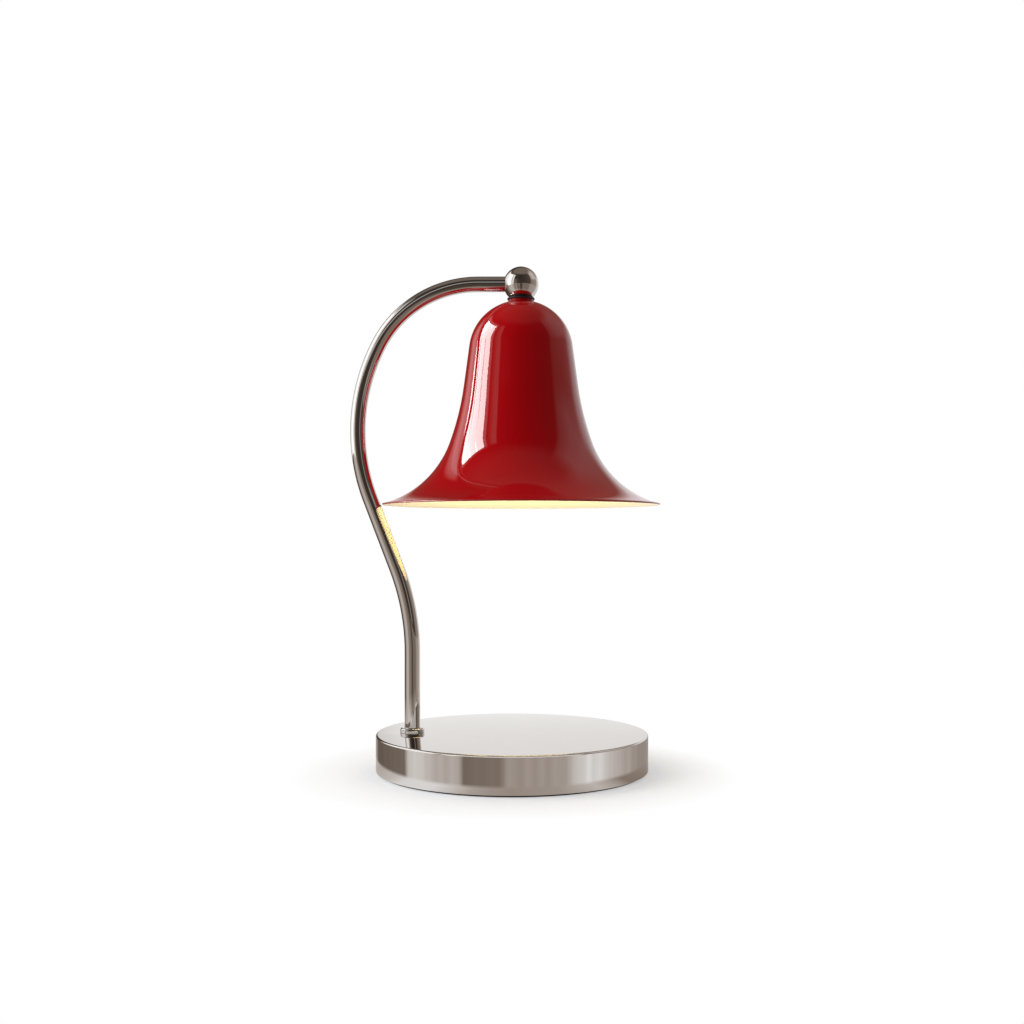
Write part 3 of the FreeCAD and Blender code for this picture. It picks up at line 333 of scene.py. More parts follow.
def shader_group(name, inputs, output):
    """A shader tree with named inputs and one output, with its input and output nodes."""
    tree = bpy.data.node_groups.new(name, "ShaderNodeTree")
    for label, kind, value in inputs:
        socket = tree.interface.new_socket(label, in_out="INPUT", socket_type="NodeSocket" + kind)
        socket.default_value = value
    label, kind = output
    tree.interface.new_socket(label, in_out="OUTPUT", socket_type="NodeSocket" + kind)
    return tree, tree.nodes.new("NodeGroupInput"), tree.nodes.new("NodeGroupOutput")


def noise(tree, place, scale, detail=4.0):
    """A noise texture over a place."""
    node = tree.nodes.new("ShaderNodeTexNoise")
    node.inputs["Scale"].default_value = scale
    node.inputs["Detail"].default_value = detail
    tree.links.new(place, node.inputs["Vector"])
    return node


def mapped(tree, source, low, high, to_low=0.0, to_high=1.0):
    """A value stretched from one range to another and held inside it."""
    node = tree.nodes.new("ShaderNodeMapRange")
    node.inputs["From Min"].default_value = low
    node.inputs["From Max"].default_value = high
    node.inputs["To Min"].default_value = to_low
    node.inputs["To Max"].default_value = to_high
    tree.links.new(source, node.inputs["Value"])
    return node.outputs["Result"]


def worn_group():
    """Handling marks: soft patches of duller finish, and fine wiping scratches."""
    tree, given, result = shader_group("handling_marks", [
        ("Roughness", "Float", 0.1), ("Smear", "Float", 0.03), ("Scratch", "Float", 0.02)],
        ("Roughness", "Float"))
    place = tree.nodes.new("ShaderNodeTexCoord").outputs["Object"]
    patches = mapped(tree, noise(tree, place, 38.0).outputs["Fac"], 0.42, 0.72)
    stretch = tree.nodes.new("ShaderNodeMapping")
    stretch.inputs["Scale"].default_value = (900.0, 900.0, 60.0)
    stretch.inputs["Rotation"].default_value = (0.35, 0.2, 0.6)
    tree.links.new(place, stretch.inputs["Vector"])
    lines = noise(tree, stretch.outputs["Vector"], 1.0, 2.0).outputs["Fac"]
    hair = mapped(tree, lines, 0.64, 0.74)
    smear = tree.nodes.new("ShaderNodeMath")
    smear.operation = "MULTIPLY_ADD"
    tree.links.new(patches, smear.inputs[0])
    tree.links.new(given.outputs["Smear"], smear.inputs[1])
    tree.links.new(given.outputs["Roughness"], smear.inputs[2])
    scratch = tree.nodes.new("ShaderNodeMath")
    scratch.operation = "MULTIPLY_ADD"
    tree.links.new(hair, scratch.inputs[0])
    tree.links.new(given.outputs["Scratch"], scratch.inputs[1])
    tree.links.new(smear.outputs["Value"], scratch.inputs[2])
    tree.links.new(scratch.outputs["Value"], result.inputs["Roughness"])
    return tree


def tint_group():
    """A colour that drifts a little darker and lighter over the surface."""
    tree, given, result = shader_group("colour_drift", [
        ("Color", "Color", (0.5, 0.5, 0.5, 1)), ("Amount", "Float", 0.06),
        ("Scale", "Float", 60.0)], ("Color", "Color"))
    place = tree.nodes.new("ShaderNodeTexCoord").outputs["Object"]
    grain = noise(tree, place, 60.0, 5.0)
    tree.links.new(given.outputs["Scale"], grain.inputs["Scale"])
    centred = mapped(tree, grain.outputs["Fac"], 0.3, 0.7, -1.0, 1.0)
    swing = tree.nodes.new("ShaderNodeMath")
    swing.operation = "MULTIPLY_ADD"
    swing.inputs[2].default_value = 1.0
    tree.links.new(centred, swing.inputs[0])
    tree.links.new(given.outputs["Amount"], swing.inputs[1])
    scaled = tree.nodes.new("ShaderNodeVectorMath")
    scaled.operation = "SCALE"
    tree.links.new(given.outputs["Color"], scaled.inputs[0])
    tree.links.new(swing.outputs["Value"], scaled.inputs["Scale"])
    tree.links.new(scaled.outputs["Vector"], result.inputs["Color"])
    return tree


HANDLING = worn_group()
DRIFT = tint_group()


def finish(name, color, roughness, metallic=0.0, drift=0.04, drift_scale=60.0, smear=0.03,
           scratch=0.02, bump=0.0, bump_scale=400.0, **constants):
    """A material with drifting colour, handling marks and, where asked, a fine bump."""
    material = bpy.data.materials.new(name)
    material.use_nodes = True
    tree = material.node_tree
    shader = tree.nodes["Principled BSDF"]
    colour = tree.nodes.new("ShaderNodeGroup")
    colour.node_tree = DRIFT
    colour.inputs["Color"].default_value = (*color, 1.0)
    colour.inputs["Amount"].default_value = drift
    colour.inputs["Scale"].default_value = drift_scale
    marks = tree.nodes.new("ShaderNodeGroup")
    marks.node_tree = HANDLING
    marks.inputs["Roughness"].default_value = roughness
    marks.inputs["Smear"].default_value = smear
    marks.inputs["Scratch"].default_value = scratch
    tree.links.new(colour.outputs["Color"], shader.inputs["Base Color"])
    tree.links.new(marks.outputs["Roughness"], shader.inputs["Roughness"])
    shader.inputs["Metallic"].default_value = metallic
    if bump > 0:
        place = tree.nodes.new("ShaderNodeTexCoord").outputs["Object"]
        grain = noise(tree, place, bump_scale, 3.0)
        relief = tree.nodes.new("ShaderNodeBump")
        relief.inputs["Strength"].default_value = bump
        relief.inputs["Distance"].default_value = 0.0002
        tree.links.new(grain.outputs["Fac"], relief.inputs["Height"])
        tree.links.new(relief.outputs["Normal"], shader.inputs["Normal"])
    for socket, value in constants.items():
        shader.inputs[socket.replace("_", " ")].default_value = value
    return material


def make_finishes():
    """Every finish of the lamp, by a short name."""
    made = {}
    made["chrome"] = finish("polished_chrome", (0.68, 0.655, 0.635), 0.035, 1.0, drift=0.015,
                            smear=0.02, scratch=0.03,
                            Specular_Tint=(0.82, 0.81, 0.80, 1.0))
    made["red"] = finish("red_lacquer", (0.42, 0.001, 0.004), 0.40, 0.0, drift=0.03,
                         drift_scale=24.0, smear=0.03, bump=0.02, bump_scale=260.0,
                         Specular_IOR_Level=0.0, Coat_Weight=1.0, Coat_Roughness=0.02,
                         Coat_IOR=1.5)
    # The lip's red is a darker copy of the lacquer: painted shade along the rim's edge, with less
    # coat.
    made["rim"] = finish("red_rim_painted_shade", (0.30, 0.002, 0.004), 0.35, 0.0, drift=0.08,
                         drift_scale=90.0, Coat_Weight=0.3, Coat_Roughness=0.06)
    made["cream"] = finish("cream_enamel", (0.92, 0.86, 0.70), 0.32, 0.0, drift=0.02,
                           drift_scale=40.0, bump=0.03, bump_scale=500.0,
                           Coat_Weight=0.3, Coat_Roughness=0.12)
    made["nylon"] = finish("black_nylon", (0.022, 0.022, 0.024), 0.42, 0.0, drift=0.15,
                           drift_scale=220.0, bump=0.10, bump_scale=1400.0)
    made["foam"] = finish("black_foam", (0.020, 0.020, 0.021), 0.85, 0.0, drift=0.35,
                          drift_scale=900.0, bump=0.6, bump_scale=1800.0)
    made["iron"] = finish("cast_iron", (0.13, 0.125, 0.12), 0.65, 0.8, drift=0.25,
                          drift_scale=300.0, bump=0.7, bump_scale=700.0)
    made["zinc"] = finish("zinc_plate", (0.62, 0.63, 0.62), 0.33, 1.0, drift=0.10,
                          drift_scale=160.0, smear=0.10, scratch=0.10)
    made["steel"] = finish("screw_steel", (0.58, 0.57, 0.55), 0.25, 1.0, drift=0.06,
                           drift_scale=400.0, smear=0.08, scratch=0.12)
    made["brass"] = finish("turned_brass", (0.76, 0.56, 0.26), 0.24, 1.0, drift=0.06,
                           drift_scale=200.0, smear=0.08, scratch=0.10)
    made["white"] = finish("white_nylon", (0.80, 0.79, 0.74), 0.45, 0.0, drift=0.04,
                           drift_scale=160.0, bump=0.05, bump_scale=900.0)
    made["jacket"] = finish("silicone_sleeve", (0.70, 0.69, 0.64), 0.55, 0.0, drift=0.05,
                            drift_scale=300.0, bump=0.08, bump_scale=1200.0)
    made["ceramic"] = finish("glazed_steatite", (0.84, 0.82, 0.77), 0.22, 0.0, drift=0.06,
                             drift_scale=700.0, bump=0.05, bump_scale=600.0,
                             Coat_Weight=0.4, Coat_Roughness=0.08)
    made["mirror"] = finish("reflector_film", (0.86, 0.85, 0.82), 0.12, 1.0, drift=0.05,
                            drift_scale=240.0, smear=0.05)
    made["quartz"] = finish("clear_quartz", (0.96, 0.96, 0.96), 0.02, 0.0, drift=0.01,
                            smear=0.01, Transmission_Weight=1.0, IOR=1.46)
    made["lens"] = finish("lit_lens", (0.95, 0.90, 0.78), 0.25, 0.0, drift=0.02,
                          bump=0.35, bump_scale=420.0,
                          Emission_Color=(1.0, 0.76, 0.38, 1.0), Emission_Strength=1.5)
    return made


FINISHES = make_finishes()


# Base

def dimmer_line():
    """The dimmer's direction out through the base's wall, and its height."""
    joint = joints["dimmer_turn"]
    return Vector(joint["axis"]), Vector((0, 0, joint["pos_m"][2]))


def make_base_shell():
    """The base's cup with holes for the arm, the cord gland and the dimmer."""
    wall = 1.0 * MM
    roof = 1.2 * MM
    edge = 1.0 * MM
    lip = 0.35 * MM
    corners = [(0, base_top), (base_radius, base_top), (base_radius, base_low),
               (base_radius - wall, base_low), (base_radius - wall, base_top - roof),
               (0, base_top - roof)]
    outline = eased(corners, (0, edge, lip, lip, edge / 2, 0), 8)
    piece = turned("base_cup", outline, around=256)
    gland = middle("cord_gland")
    gland_bore = radius_of("cord_gland") - 1.5 * MM
    dimmer_bore = 3.45 * MM
    inside = base_radius - 6 * MM
    out, height = dimmer_line()
    holes = [post("cut_foot", tube_radius + FIT_GAP, CUTTER,
                  (foot_x, 0, base_top - CUTTER / 2), (0, 0, 1)),
             post("cut_gland", gland_bore, CUTTER, (gland.x, inside, gland.z), (0, 1, 0)),
             post("cut_dimmer", dimmer_bore, CUTTER, out * inside + height, out)]
    carve(piece, holes)
    return dress(piece, "base", [FINISHES["chrome"]], "chrome", "base_shell")


def make_foot_ring():
    """The rounded ring where the arm meets the base."""
    low, high = span("foot_ring", 2)
    outer = radius_of("foot_ring")
    inner = tube_radius + FIT_GAP
    corners = [(inner, low), (outer, low), (outer, high), (inner, high)]
    outline = eased(corners + corners[:1], (0, 0.25 * MM, 0.9 * MM, 0.2 * MM, 0), 8)[:-1]
    piece = turned("foot_collar", outline, foot_x, around=128, closed=True)
    dress(piece, "base", [FINISHES["chrome"]], "chrome", "foot_ring")


# Arm and ball

def arm_points():
    """The arm's centreline, from inside the ball down into the base."""
    crown_run = 22.07 * MM
    crown = (57.9 * MM, 63.3)
    side = (98.2 * MM, 47.6)
    foot = (122.9 * MM, 90 - crown[1] - side[1])
    start_x = span("arm_tube", 0)[1]
    run = crown_run - (shade_x - start_x)
    upper = chain((start_x, arm_height), 180, [(run,), crown, side], 1.5)
    lower = chain((0, 0), upper[2], [foot], 1.5)
    slope = heading(upper[2])
    lean = (foot_x - upper[1].x - lower[1].x) / slope.x
    foot_top = upper[1].y + lean * slope.y + lower[1].y
    steps = [(run,), crown, side, (lean,), foot, (foot_top - span("arm_tube", 2)[0],)]
    points = chain((start_x, arm_height), 180, steps, 1.5)[0]
    return [(point.x, 0.0, point.y) for point in points]


def make_arm(bar):
    """The bent tube."""
    path = path_object("arm_bar", arm_points())
    piece = grown(path, bar, Radius=tube_radius, Sides=64, Material=FINISHES["chrome"])
    piece.data.set_sharp_from_angle(angle=SHARP)
    return dress(piece, "base", [FINISHES["chrome"]], "chrome", "arm_tube")


def make_ball():
    """The hollow ball with a flat foot, a seat for the arm and a hole for the set screw."""
    flat_depth = arm_height - ball_flat
    flat_radius = math.sqrt(ball_radius ** 2 - flat_depth ** 2)
    cavity = 5.2 * MM
    floor = ball_flat + 1.6 * MM
    roof = arm_height + 3.0 * MM
    start = math.degrees(math.asin(-flat_depth / ball_radius))
    outline = [Vector((0, roof)), Vector((cavity, roof)), Vector((cavity, floor)),
               Vector((STEM_BORE, floor)), Vector((STEM_BORE, ball_flat)),
               Vector((flat_radius, ball_flat))]
    count = 64
    for number in range(1, count + 1):
        angle = math.radians(start + (90 - start) * number / count)
        outline.append(Vector((ball_radius * math.cos(angle),
                               arm_height + ball_radius * math.sin(angle))))
    outline[-1].x = 0
    piece = turned("ball_joint", outline, shade_x, around=128)
    seat_end = span("arm_tube", 0)[1] + 0.3 * MM
    side = post("cut_arm", tube_radius + FIT_GAP, 2 * CUTTER, (seat_end, 0, arm_height),
                (-1, 0, 0), 96)
    grub = middle("arm_set_screw")
    grub_bore = 1.55 * MM
    rear = post("cut_grub", grub_bore, 2 * CUTTER, (grub.x, 0, grub.z), (0, 1, 0), 32)
    carve(piece, [side, rear])
    return dress(piece, "base", [FINISHES["chrome"]], "chrome", "ball_elbow")


# Neck and shade

def make_ring(name, node, finish_name, slot, edge):
    """A plain ring round the stem with eased edges that takes a node's place."""
    low, high = span(node, 2)
    outer = radius_of(node)
    centre = middle(node)
    corners = [(STEM_BORE, low), (outer, low), (outer, high), (STEM_BORE, high)]
    outline = eased(corners + corners[:1], (0, edge, edge, edge / 2, 0), 5)[:-1]
    piece = turned(name, outline, centre.x, centre.y, around=96, closed=True)
    dress(piece, "shade_head", [FINISHES[finish_name]], slot, node)


def shade_outline(inset, start):
    """The bell's line, set in from the outer skin by the wall where inset is the wall."""
    steps = [(26.64 * MM - inset, -69.2), (21.08 * MM,), (141.94 * MM + inset, 12.33),
             (50.45 * MM + inset, 54.84)]
    return chain(start, -SHADE_LEAN, steps, 2.0)


def make_shade():
    """The bell: red outside, cream inside and a round lip between the two, whose darker red is
    painted shade.
    """
    wall = 0.8 * MM
    lean = heading(90 - SHADE_LEAN)
    outer_start = Vector((collar_radius, shade_top))
    inner_start = outer_start - lean * wall
    outer, outer_end, last = shade_outline(0.0, outer_start)
    inner, inner_end, last = shade_outline(wall, inner_start)
    mid = (outer_end + inner_end) / 2
    bulge = heading(last) * (wall / 2)
    across = (outer_end - inner_end) / 2
    rim = []
    count = 8
    for number in range(1, count):
        angle = math.pi * number / count
        rim.append(mid + across * math.cos(angle) + bulge * math.sin(angle))
    outline = [Vector((STEM_BORE, shade_top))] + outer + rim + inner[::-1]
    outline.append(Vector((STEM_BORE, inner_start.y)))
    rim_at = len(outer)
    cream_at = rim_at + len(rim)
    # The lip's faces take the darker red, which is painted shade on the rim's edge.
    piece = turned("bell_shade", outline, shade_x, around=256, closed=True,
                   rings=((rim_at, 1), (cream_at, 2)))
    return dress(piece, "shade_head", [FINISHES["red"], FINISHES["rim"], FINISHES["cream"]],
                 "red_paint", "shade")


# Bulb

def make_bulb_cap():
    """The bulb's ceramic foot."""
    low, high = span("bulb_cap", 2)
    radius = radius_of("bulb_cap")
    corners = [(0, low), (radius, low), (radius, high), (0, high)]
    piece = turned("bulb_base", eased(corners, (0, 0.3 * MM, 1.0 * MM, 0), 6), shade_x)
    dress(piece, "bulb", [FINISHES["ceramic"]], "ceramic", "bulb_cap")


def make_bulb_glass():
    """The reflector: a curved cup from the neck down to a straight rim, with its inside."""
    glass_top = span("bulb_reflector", 2)[1]
    neck = 13.0 * MM
    wall = 1.2 * MM
    rim = 3.0 * MM
    capsule_hole = 4.25 * MM
    depth = glass_top - bulb_face - rim
    outer = []
    steps = 28
    for number in range(steps + 1):
        share = number / steps
        radius = neck + (bulb_radius - neck) * math.sin(share * math.pi / 2) ** 0.9
        outer.append(Vector((radius, glass_top - depth * share)))
    outer.append(Vector((bulb_radius, bulb_face)))
    inner = [Vector((bulb_radius - wall, bulb_face))]
    for point in outer[-2::-1]:
        inner.append(Vector((point.x - wall, max(point.y - 0.4 * wall, bulb_face + rim))))
    inner = [point for point in inner if point.y < glass_top - wall]
    inner.append(Vector((neck - wall, glass_top - wall)))
    inner.append(Vector((capsule_hole, glass_top - wall)))
    inner.append(Vector((capsule_hole, glass_top)))
    piece = turned("bulb_glass", outer + inner, shade_x, closed=True)
    dress(piece, "bulb", [FINISHES["mirror"]], "mirror_glass", "bulb_reflector")


def make_bulb_lens():
    """The front glass, with ripples that spread the light and a plain edge."""
    low, high = span("bulb_lens", 2)
    radius = radius_of("bulb_lens")
    sag = 0.35 * MM
    depth = 0.12 * MM
    edge = 0.5 * MM
    rippled = 0.97
    steps = 12
    front = []
    for number in range(steps + 1):
        share = number / steps
        ripple = depth * math.sin(share * 9 * math.pi) if number < steps else 0.0
        front.append((radius * share * rippled, low + sag * share ** 2 + ripple))
    corners = front + [(radius, low + edge), (radius, high), (0, high)]
    piece = turned("bulb_window", corners, shade_x)
    dress(piece, "bulb", [FINISHES["lens"]], "frosted_glass", "bulb_lens")


# Fittings at the back of the base

def radial_matrix():
    """Turns a piece made about the upright axis out through the base's wall."""
    out, height = dimmer_line()
    turn = Vector((0, 0, 1)).rotation_difference(out).to_matrix().to_4x4()
    return Matrix.Translation(height) @ turn


def make_knob(round_axis):
    """A hollow-skirted knob with a ribbed grip and a white mark on its face."""
    foot = base_radius + 0.3 * MM
    top = foot + 9.5 * MM
    grip = 6.4 * MM
    dish = 4.6 * MM
    dish_floor = top - 0.4 * MM
    skirt = 5.6 * MM
    skirt_roof = foot + 2.4 * MM
    bore = 2.0 * MM
    bore_roof = foot + 7.9 * MM
    corners = [(0, dish_floor), (dish, dish_floor), (dish + 0.4 * MM, top), (grip, top),
               (grip, foot), (skirt, foot), (skirt, skirt_roof), (bore, skirt_roof),
               (bore, bore_roof), (0, bore_roof)]
    sizes = (0, 0.3 * MM, 0.2 * MM, 0.9 * MM, 0.3 * MM, 0.2 * MM, 0.3 * MM, 0.1 * MM, 0, 0)
    body = turned("knob_core", eased(corners, sizes, 6), around=120)
    rib_radius = 0.42 * MM
    rib_length = 7.9 * MM
    rod = [(0, 0), (rib_radius, 0), (rib_radius, rib_length), (0, rib_length)]
    rib = turned("rib_rod", eased(rod, (0, 0.2 * MM, 0.3 * MM, 0), 4), around=10)
    rib.data.transform(Matrix.Rotation(math.pi / 2, 4, "X"))
    ribs = grown(rib, round_axis, Count=30, Radius=grip, Material=FINISHES["nylon"])
    mark = post("knob_mark", 0.5 * MM, 3.4 * MM, (1.6 * MM, 0, top - 0.25 * MM),
                (1, 0, 0), 12)
    seat(ribs, foot + 0.8 * MM)
    joined = merge("dimmer_grip", [body, ribs, mark], (0, 0, 1))
    joined.data.transform(radial_matrix())
    dress(joined, "dimmer", [FINISHES["nylon"], FINISHES["white"]], "black_nylon",
          "dimmer_knob")


def seat(piece, height):
    """Lift a mesh so that its lowest point is at a height."""
    lowest = min(vertex.co.z for vertex in piece.data.vertices)
    piece.data.transform(Matrix.Translation((0, 0, height - lowest)))


def merge(name, pieces, numbers):
    """One mesh from several, each with its material number."""
    bm = bmesh.new()
    for piece, number in zip(pieces, numbers):
        first = len(bm.faces)
        bm.from_mesh(piece.data)
        bm.faces.ensure_lookup_table()
        for face in bm.faces[first:]:
            face.material_index = number
        bpy.data.objects.remove(piece)
    mesh = bpy.data.meshes.new(name)
    bm.to_mesh(mesh)
    bm.free()
    mesh.set_sharp_from_angle(angle=SHARP)
    made = bpy.data.objects.new(name, mesh)
    scene.collection.objects.link(made)
    return made


def make_gland():
    """The cord gland: a rounded flange and a barrel with an open bore."""
    centre = middle("cord_gland")
    low, high = span("cord_gland", 1)
    bore = 2.6 * MM
    barrel = 4.0 * MM
    flange = radius_of("cord_gland")
    wall_at = high - 2.0 * MM
    corners = [(bore, low), (barrel, low), (barrel, wall_at), (flange, wall_at),
               (flange, high), (bore, high)]
    sizes = (0, 0.3 * MM, 0, 0.2 * MM, 0.9 * MM, 0)
    outline = eased(corners + corners[:1], sizes + (0,), 6)[:-1]
    piece = turned("lead_gland", outline, around=96, closed=True)
    turn = Matrix.Rotation(-math.pi / 2, 4, "X")
    piece.data.transform(Matrix.Translation((centre.x, 0, centre.z)) @ turn)
    dress(piece, "base", [FINISHES["nylon"]], "black_nylon", "cord_gland")


# Inner pieces keep their solids and get their finishes

KEPT = {
    "zinc": ("bottom_cover", "arm_washer", "dimmer_pot", "dimmer_nut", "holder_bracket"),
    "iron": ("ballast_weight",),
    "foam": ("foot_pad",),
    "steel": ("cover_screws", "arm_set_screw", "terminal_screws", "swivel_clip",
              "holder_screws", "bulb_pins"),
    "brass": ("arm_nut", "stem_tube", "shade_nut", "holder_contacts", "dimmer_shaft"),
    "jacket": ("arm_cable", "arm_leads", "dimmer_leads", "holder_leads"),
    "nylon": ("gland_nut",),
    "white": ("terminal_block",),
    "ceramic": ("lamp_holder",),
    "quartz": ("bulb_capsule",),
}


def finish_kept_nodes():
    """Give the solids that stay as they are their finishes."""
    for finish_name, names in KEPT.items():
        for name in names:
            slots = nodes[name].data.materials
            slots.clear()
            slots.append(FINISHES[finish_name])


# Studio

# What mirror rays see, as (turn, level): turn 0 is the camera's side, 90 is the photo's left
# and 180 is behind. ROOM is what lies low all round, TOP is above it, CEILING is overhead, and
# a blend between two of them runs over a share of the way up

ROOM = ((-180, 1.12), (-130, 0.95), (-118, 0.42), (-69, 0.27), (-65, 0.10), (-40, 0.07),
        (0, 0.05), (20, 0.06), (36, 0.19), (45, 0.15), (148, 0.08), (168, 0.08), (174, 1.12),
        (180, 1.12))
TOP = ((-180, 0.10), (-150, 0.30), (-122, 0.62), (-95, 0.70), (-74, 0.45), (-66, 0.10),
       (-30, 0.06), (0, 0.04), (40, 0.06), (118, 0.10), (150, 0.05), (180, 0.07))
CEILING = 0.22
TOP_RISE = (0.32, 0.46)
CEILING_RISE = (0.78, 0.90)

# Windows as (first turn, last turn, level), with their bars and their upper edge

WINDOWS = ((46, 66, 0.8), (66, 146, 1.3))
WINDOW_RISE = (0.72, 0.76)
BARS_ROUND = 25.0
BAR_LEVEL = 0.5

# The floor's levels for mirror rays, close to the lamp and farther off, the distances that
# the one changes to the other over, and how far out the lamp's shadow shows

NEAR_FLOOR = ((-180, 0.70), (-112, 0.50), (-75, 0.35), (-60, 0.31), (-50, 0.55), (-40, 0.71),
              (-20, 0.48), (0, 0.43), (10, 0.48), (18, 0.57), (28, 0.80), (37, 0.98),
              (55, 0.98), (66, 0.75), (90, 0.65), (112, 0.70), (180, 0.80))
FAR_FLOOR = ((-180, 0.90), (-130, 0.90), (-112, 0.50), (-66, 0.42), (-50, 0.24), (-12, 0.24),
             (-5, 0.08), (3, 0.08), (12, 0.28), (22, 0.16), (32, 0.40), (42, 0.26),
             (52, 0.50), (64, 0.66), (84, 0.62), (97, 0.43), (112, 0.20), (120, 0.08),
             (160, 0.08), (168, 0.35), (180, 0.90))
FLOOR_CHANGE = (0.15, 0.34)
SHADOW_REACH = (0.074, 0.114)

# The low card that the base's side shows, with its distance, height and soft foot

CARD = ((-180, 0.50), (-83, 0.45), (-72, 0.50), (-55, 0.67), (-46, 0.85), (-38, 0.97),
        (-31, 0.80), (-25, 0.50), (-10, 0.47), (2, 0.48), (5, 0.28), (23, 0.25), (24.5, 0.60),
        (35, 0.62), (44, 0.75), (51, 0.90), (56, 0.75), (59, 0.24), (96, 0.18), (104, 0.50),
        (180, 0.60))
CARD_DISTANCE = 0.085
CARD_HEIGHT = 0.0195
CARD_FOOT = 0.0020

# What plain surfaces get from the room and from the far floor, and the floor's own colour
# and lift for the camera

PLAIN_ROOM = 0.20
PLAIN_FLOOR = 0.45
FLOOR_COLOR = (0.49, 0.50, 0.52, 1)
FLOOR_LIFT = 0.47

# Lamps, as name, (turn, distance, height), (width, tall) and level. The window's panes show
# on the lacquer, between its bars

AIM_HEIGHT = 0.12
SOFTBOXES = (("window", (78, 1.15, 0.55), (0.93, 1.20), 4.0),
             ("ceiling", (180, 0.10, 1.30), (1.0, 1.0), 1.6))
PANES = (79.5, 94, 108.5)
PANE_SIZE = (0.235, 0.90)
PANE_LEVEL = 13.0

# The bulb's lamps: power in watts, height and the beam's full angle

BULB_COLOR = (1.0, 0.74, 0.30)
BEAM_POWER = 0.5
BEAM_ANGLE = math.radians(46)
GLOW_POWER = 0.24
GLOW_HEIGHT = 0.112


def sum_of(tree, operation, first, second=None):
    """One step of sums on sockets or plain numbers."""
    node = tree.nodes.new("ShaderNodeMath")
    node.operation = operation
    for index, value in enumerate((first, second)):
        if value is None:
            continue
        if isinstance(value, (int, float)):
            node.inputs[index].default_value = value
        else:
            tree.links.new(value, node.inputs[index])
    return node.outputs["Value"]


def blend(tree, share, first, second):
    """A value between two others."""
    node = tree.nodes.new("ShaderNodeMix")
    for socket, value in ((0, share), (2, first), (3, second)):
        if isinstance(value, (int, float)):
            node.inputs[socket].default_value = value
        else:
            tree.links.new(value, node.inputs[socket])
    return node.outputs[0]


def part_of(tree, name, output):
    """An output of a new input node."""
    return tree.nodes.new(name).outputs[output]


def share_round(tree, place):
    """0 to 1 round the lamp for a place or a ray, and its height: 0.5 is the camera's side
    and 0.75 is the left."""
    parts = tree.nodes.new("ShaderNodeSeparateXYZ")
    tree.links.new(place, parts.inputs["Vector"])
    angle = sum_of(tree, "ARCTAN2", parts.outputs["X"], parts.outputs["Y"])
    return sum_of(tree, "FRACT", sum_of(tree, "DIVIDE", angle, FULL)), parts.outputs["Z"]


def spot_of(turn):
    """The share round the lamp of a turn."""
    return turn / 360 + 0.5


def seen_directly(tree, path):
    """1 for what the camera sees, also through glass."""
    return sum_of(tree, "MAXIMUM", path.outputs["Is Camera Ray"],
                  path.outputs["Is Transmission Ray"])


def warm_darks(tree, level):
    """A tint that is white for bright levels and brown for dark ones."""
    node = tree.nodes.new("ShaderNodeMix")
    node.data_type = "RGBA"
    node.inputs["A"].default_value = (1.0, 0.78, 0.62, 1.0)
    node.inputs["B"].default_value = (1.0, 1.0, 1.0, 1.0)
    tree.links.new(mapped(tree, level, 0.1, 0.95), node.inputs["Factor"])
    return node.outputs["Result"]


def ramp_of(tree, share, levels):
    """The level at a share round the lamp, from (turn, level) pairs from -180 to 180."""
    ramp = tree.nodes.new("ShaderNodeValToRGB")
    elements = ramp.color_ramp.elements
    for turn, level in levels:
        spot = spot_of(turn)
        if spot in (0.0, 1.0):
            element = elements[0 if spot == 0.0 else len(elements) - 1]
        else:
            element = elements.new(spot)
        element.color = (level, level, level, 1)
    tree.links.new(share, ramp.inputs["Fac"])
    return ramp.outputs["Color"]


def make_world():
    """White for the camera, soft for plain surfaces, and a studio's panels for mirrors."""
    world = bpy.data.worlds.new("white_studio")
    scene.world = world
    world.use_nodes = True
    tree = world.node_tree
    share, rise = share_round(tree, part_of(tree, "ShaderNodeTexCoord", "Generated"))
    panels = blend(tree, mapped(tree, rise, *TOP_RISE), ramp_of(tree, share, ROOM),
                   ramp_of(tree, share, TOP))
    total = blend(tree, mapped(tree, rise, *CEILING_RISE), panels, CEILING)
    for first, last, level in WINDOWS:
        after = mapped(tree, share, spot_of(first), spot_of(first) + 0.008)
        before = mapped(tree, share, spot_of(last) - 0.04, spot_of(last), 1.0, 0.0)
        inside = sum_of(tree, "MULTIPLY", after, before)
        below = mapped(tree, rise, *WINDOW_RISE, 1.0, 0.0)
        panes = sum_of(tree, "FRACT", sum_of(tree, "MULTIPLY", share, BARS_ROUND))
        bars = mapped(tree, panes, 0.03, 0.10, BAR_LEVEL, 1.0)
        light = sum_of(tree, "MULTIPLY", sum_of(tree, "MULTIPLY", inside, below), bars)
        total = blend(tree, light, total, level)
    path = tree.nodes.new("ShaderNodeLightPath")
    plain = blend(tree, path.outputs["Is Glossy Ray"], PLAIN_ROOM, total)
    back = tree.nodes["Background"]
    strength = blend(tree, seen_directly(tree, path), plain, 1.0)
    away = sum_of(tree, "SUBTRACT", 1.0, path.outputs["Is Glossy Ray"])
    tree.links.new(warm_darks(tree, sum_of(tree, "MAXIMUM", strength, away)),
                   back.inputs["Color"])
    tree.links.new(strength, back.inputs["Strength"])


def mixed(tree, share, first, second):
    """A blend of two shaders."""
    mix = tree.nodes.new("ShaderNodeMixShader")
    tree.links.new(share, mix.inputs["Fac"])
    tree.links.new(first, mix.inputs[1])
    tree.links.new(second, mix.inputs[2])
    return mix.outputs["Shader"]


def shader_tree(mesh, name):
    """The empty tree of a new material on a mesh."""
    material = bpy.data.materials.new(name)
    material.use_nodes = True
    material.node_tree.nodes.clear()
    mesh.materials.append(material)
    return material.node_tree


def surface_of(tree, shader):
    """End a material's tree with its surface."""
    out = tree.nodes.new("ShaderNodeOutputMaterial")
    tree.links.new(shader, out.inputs["Surface"])


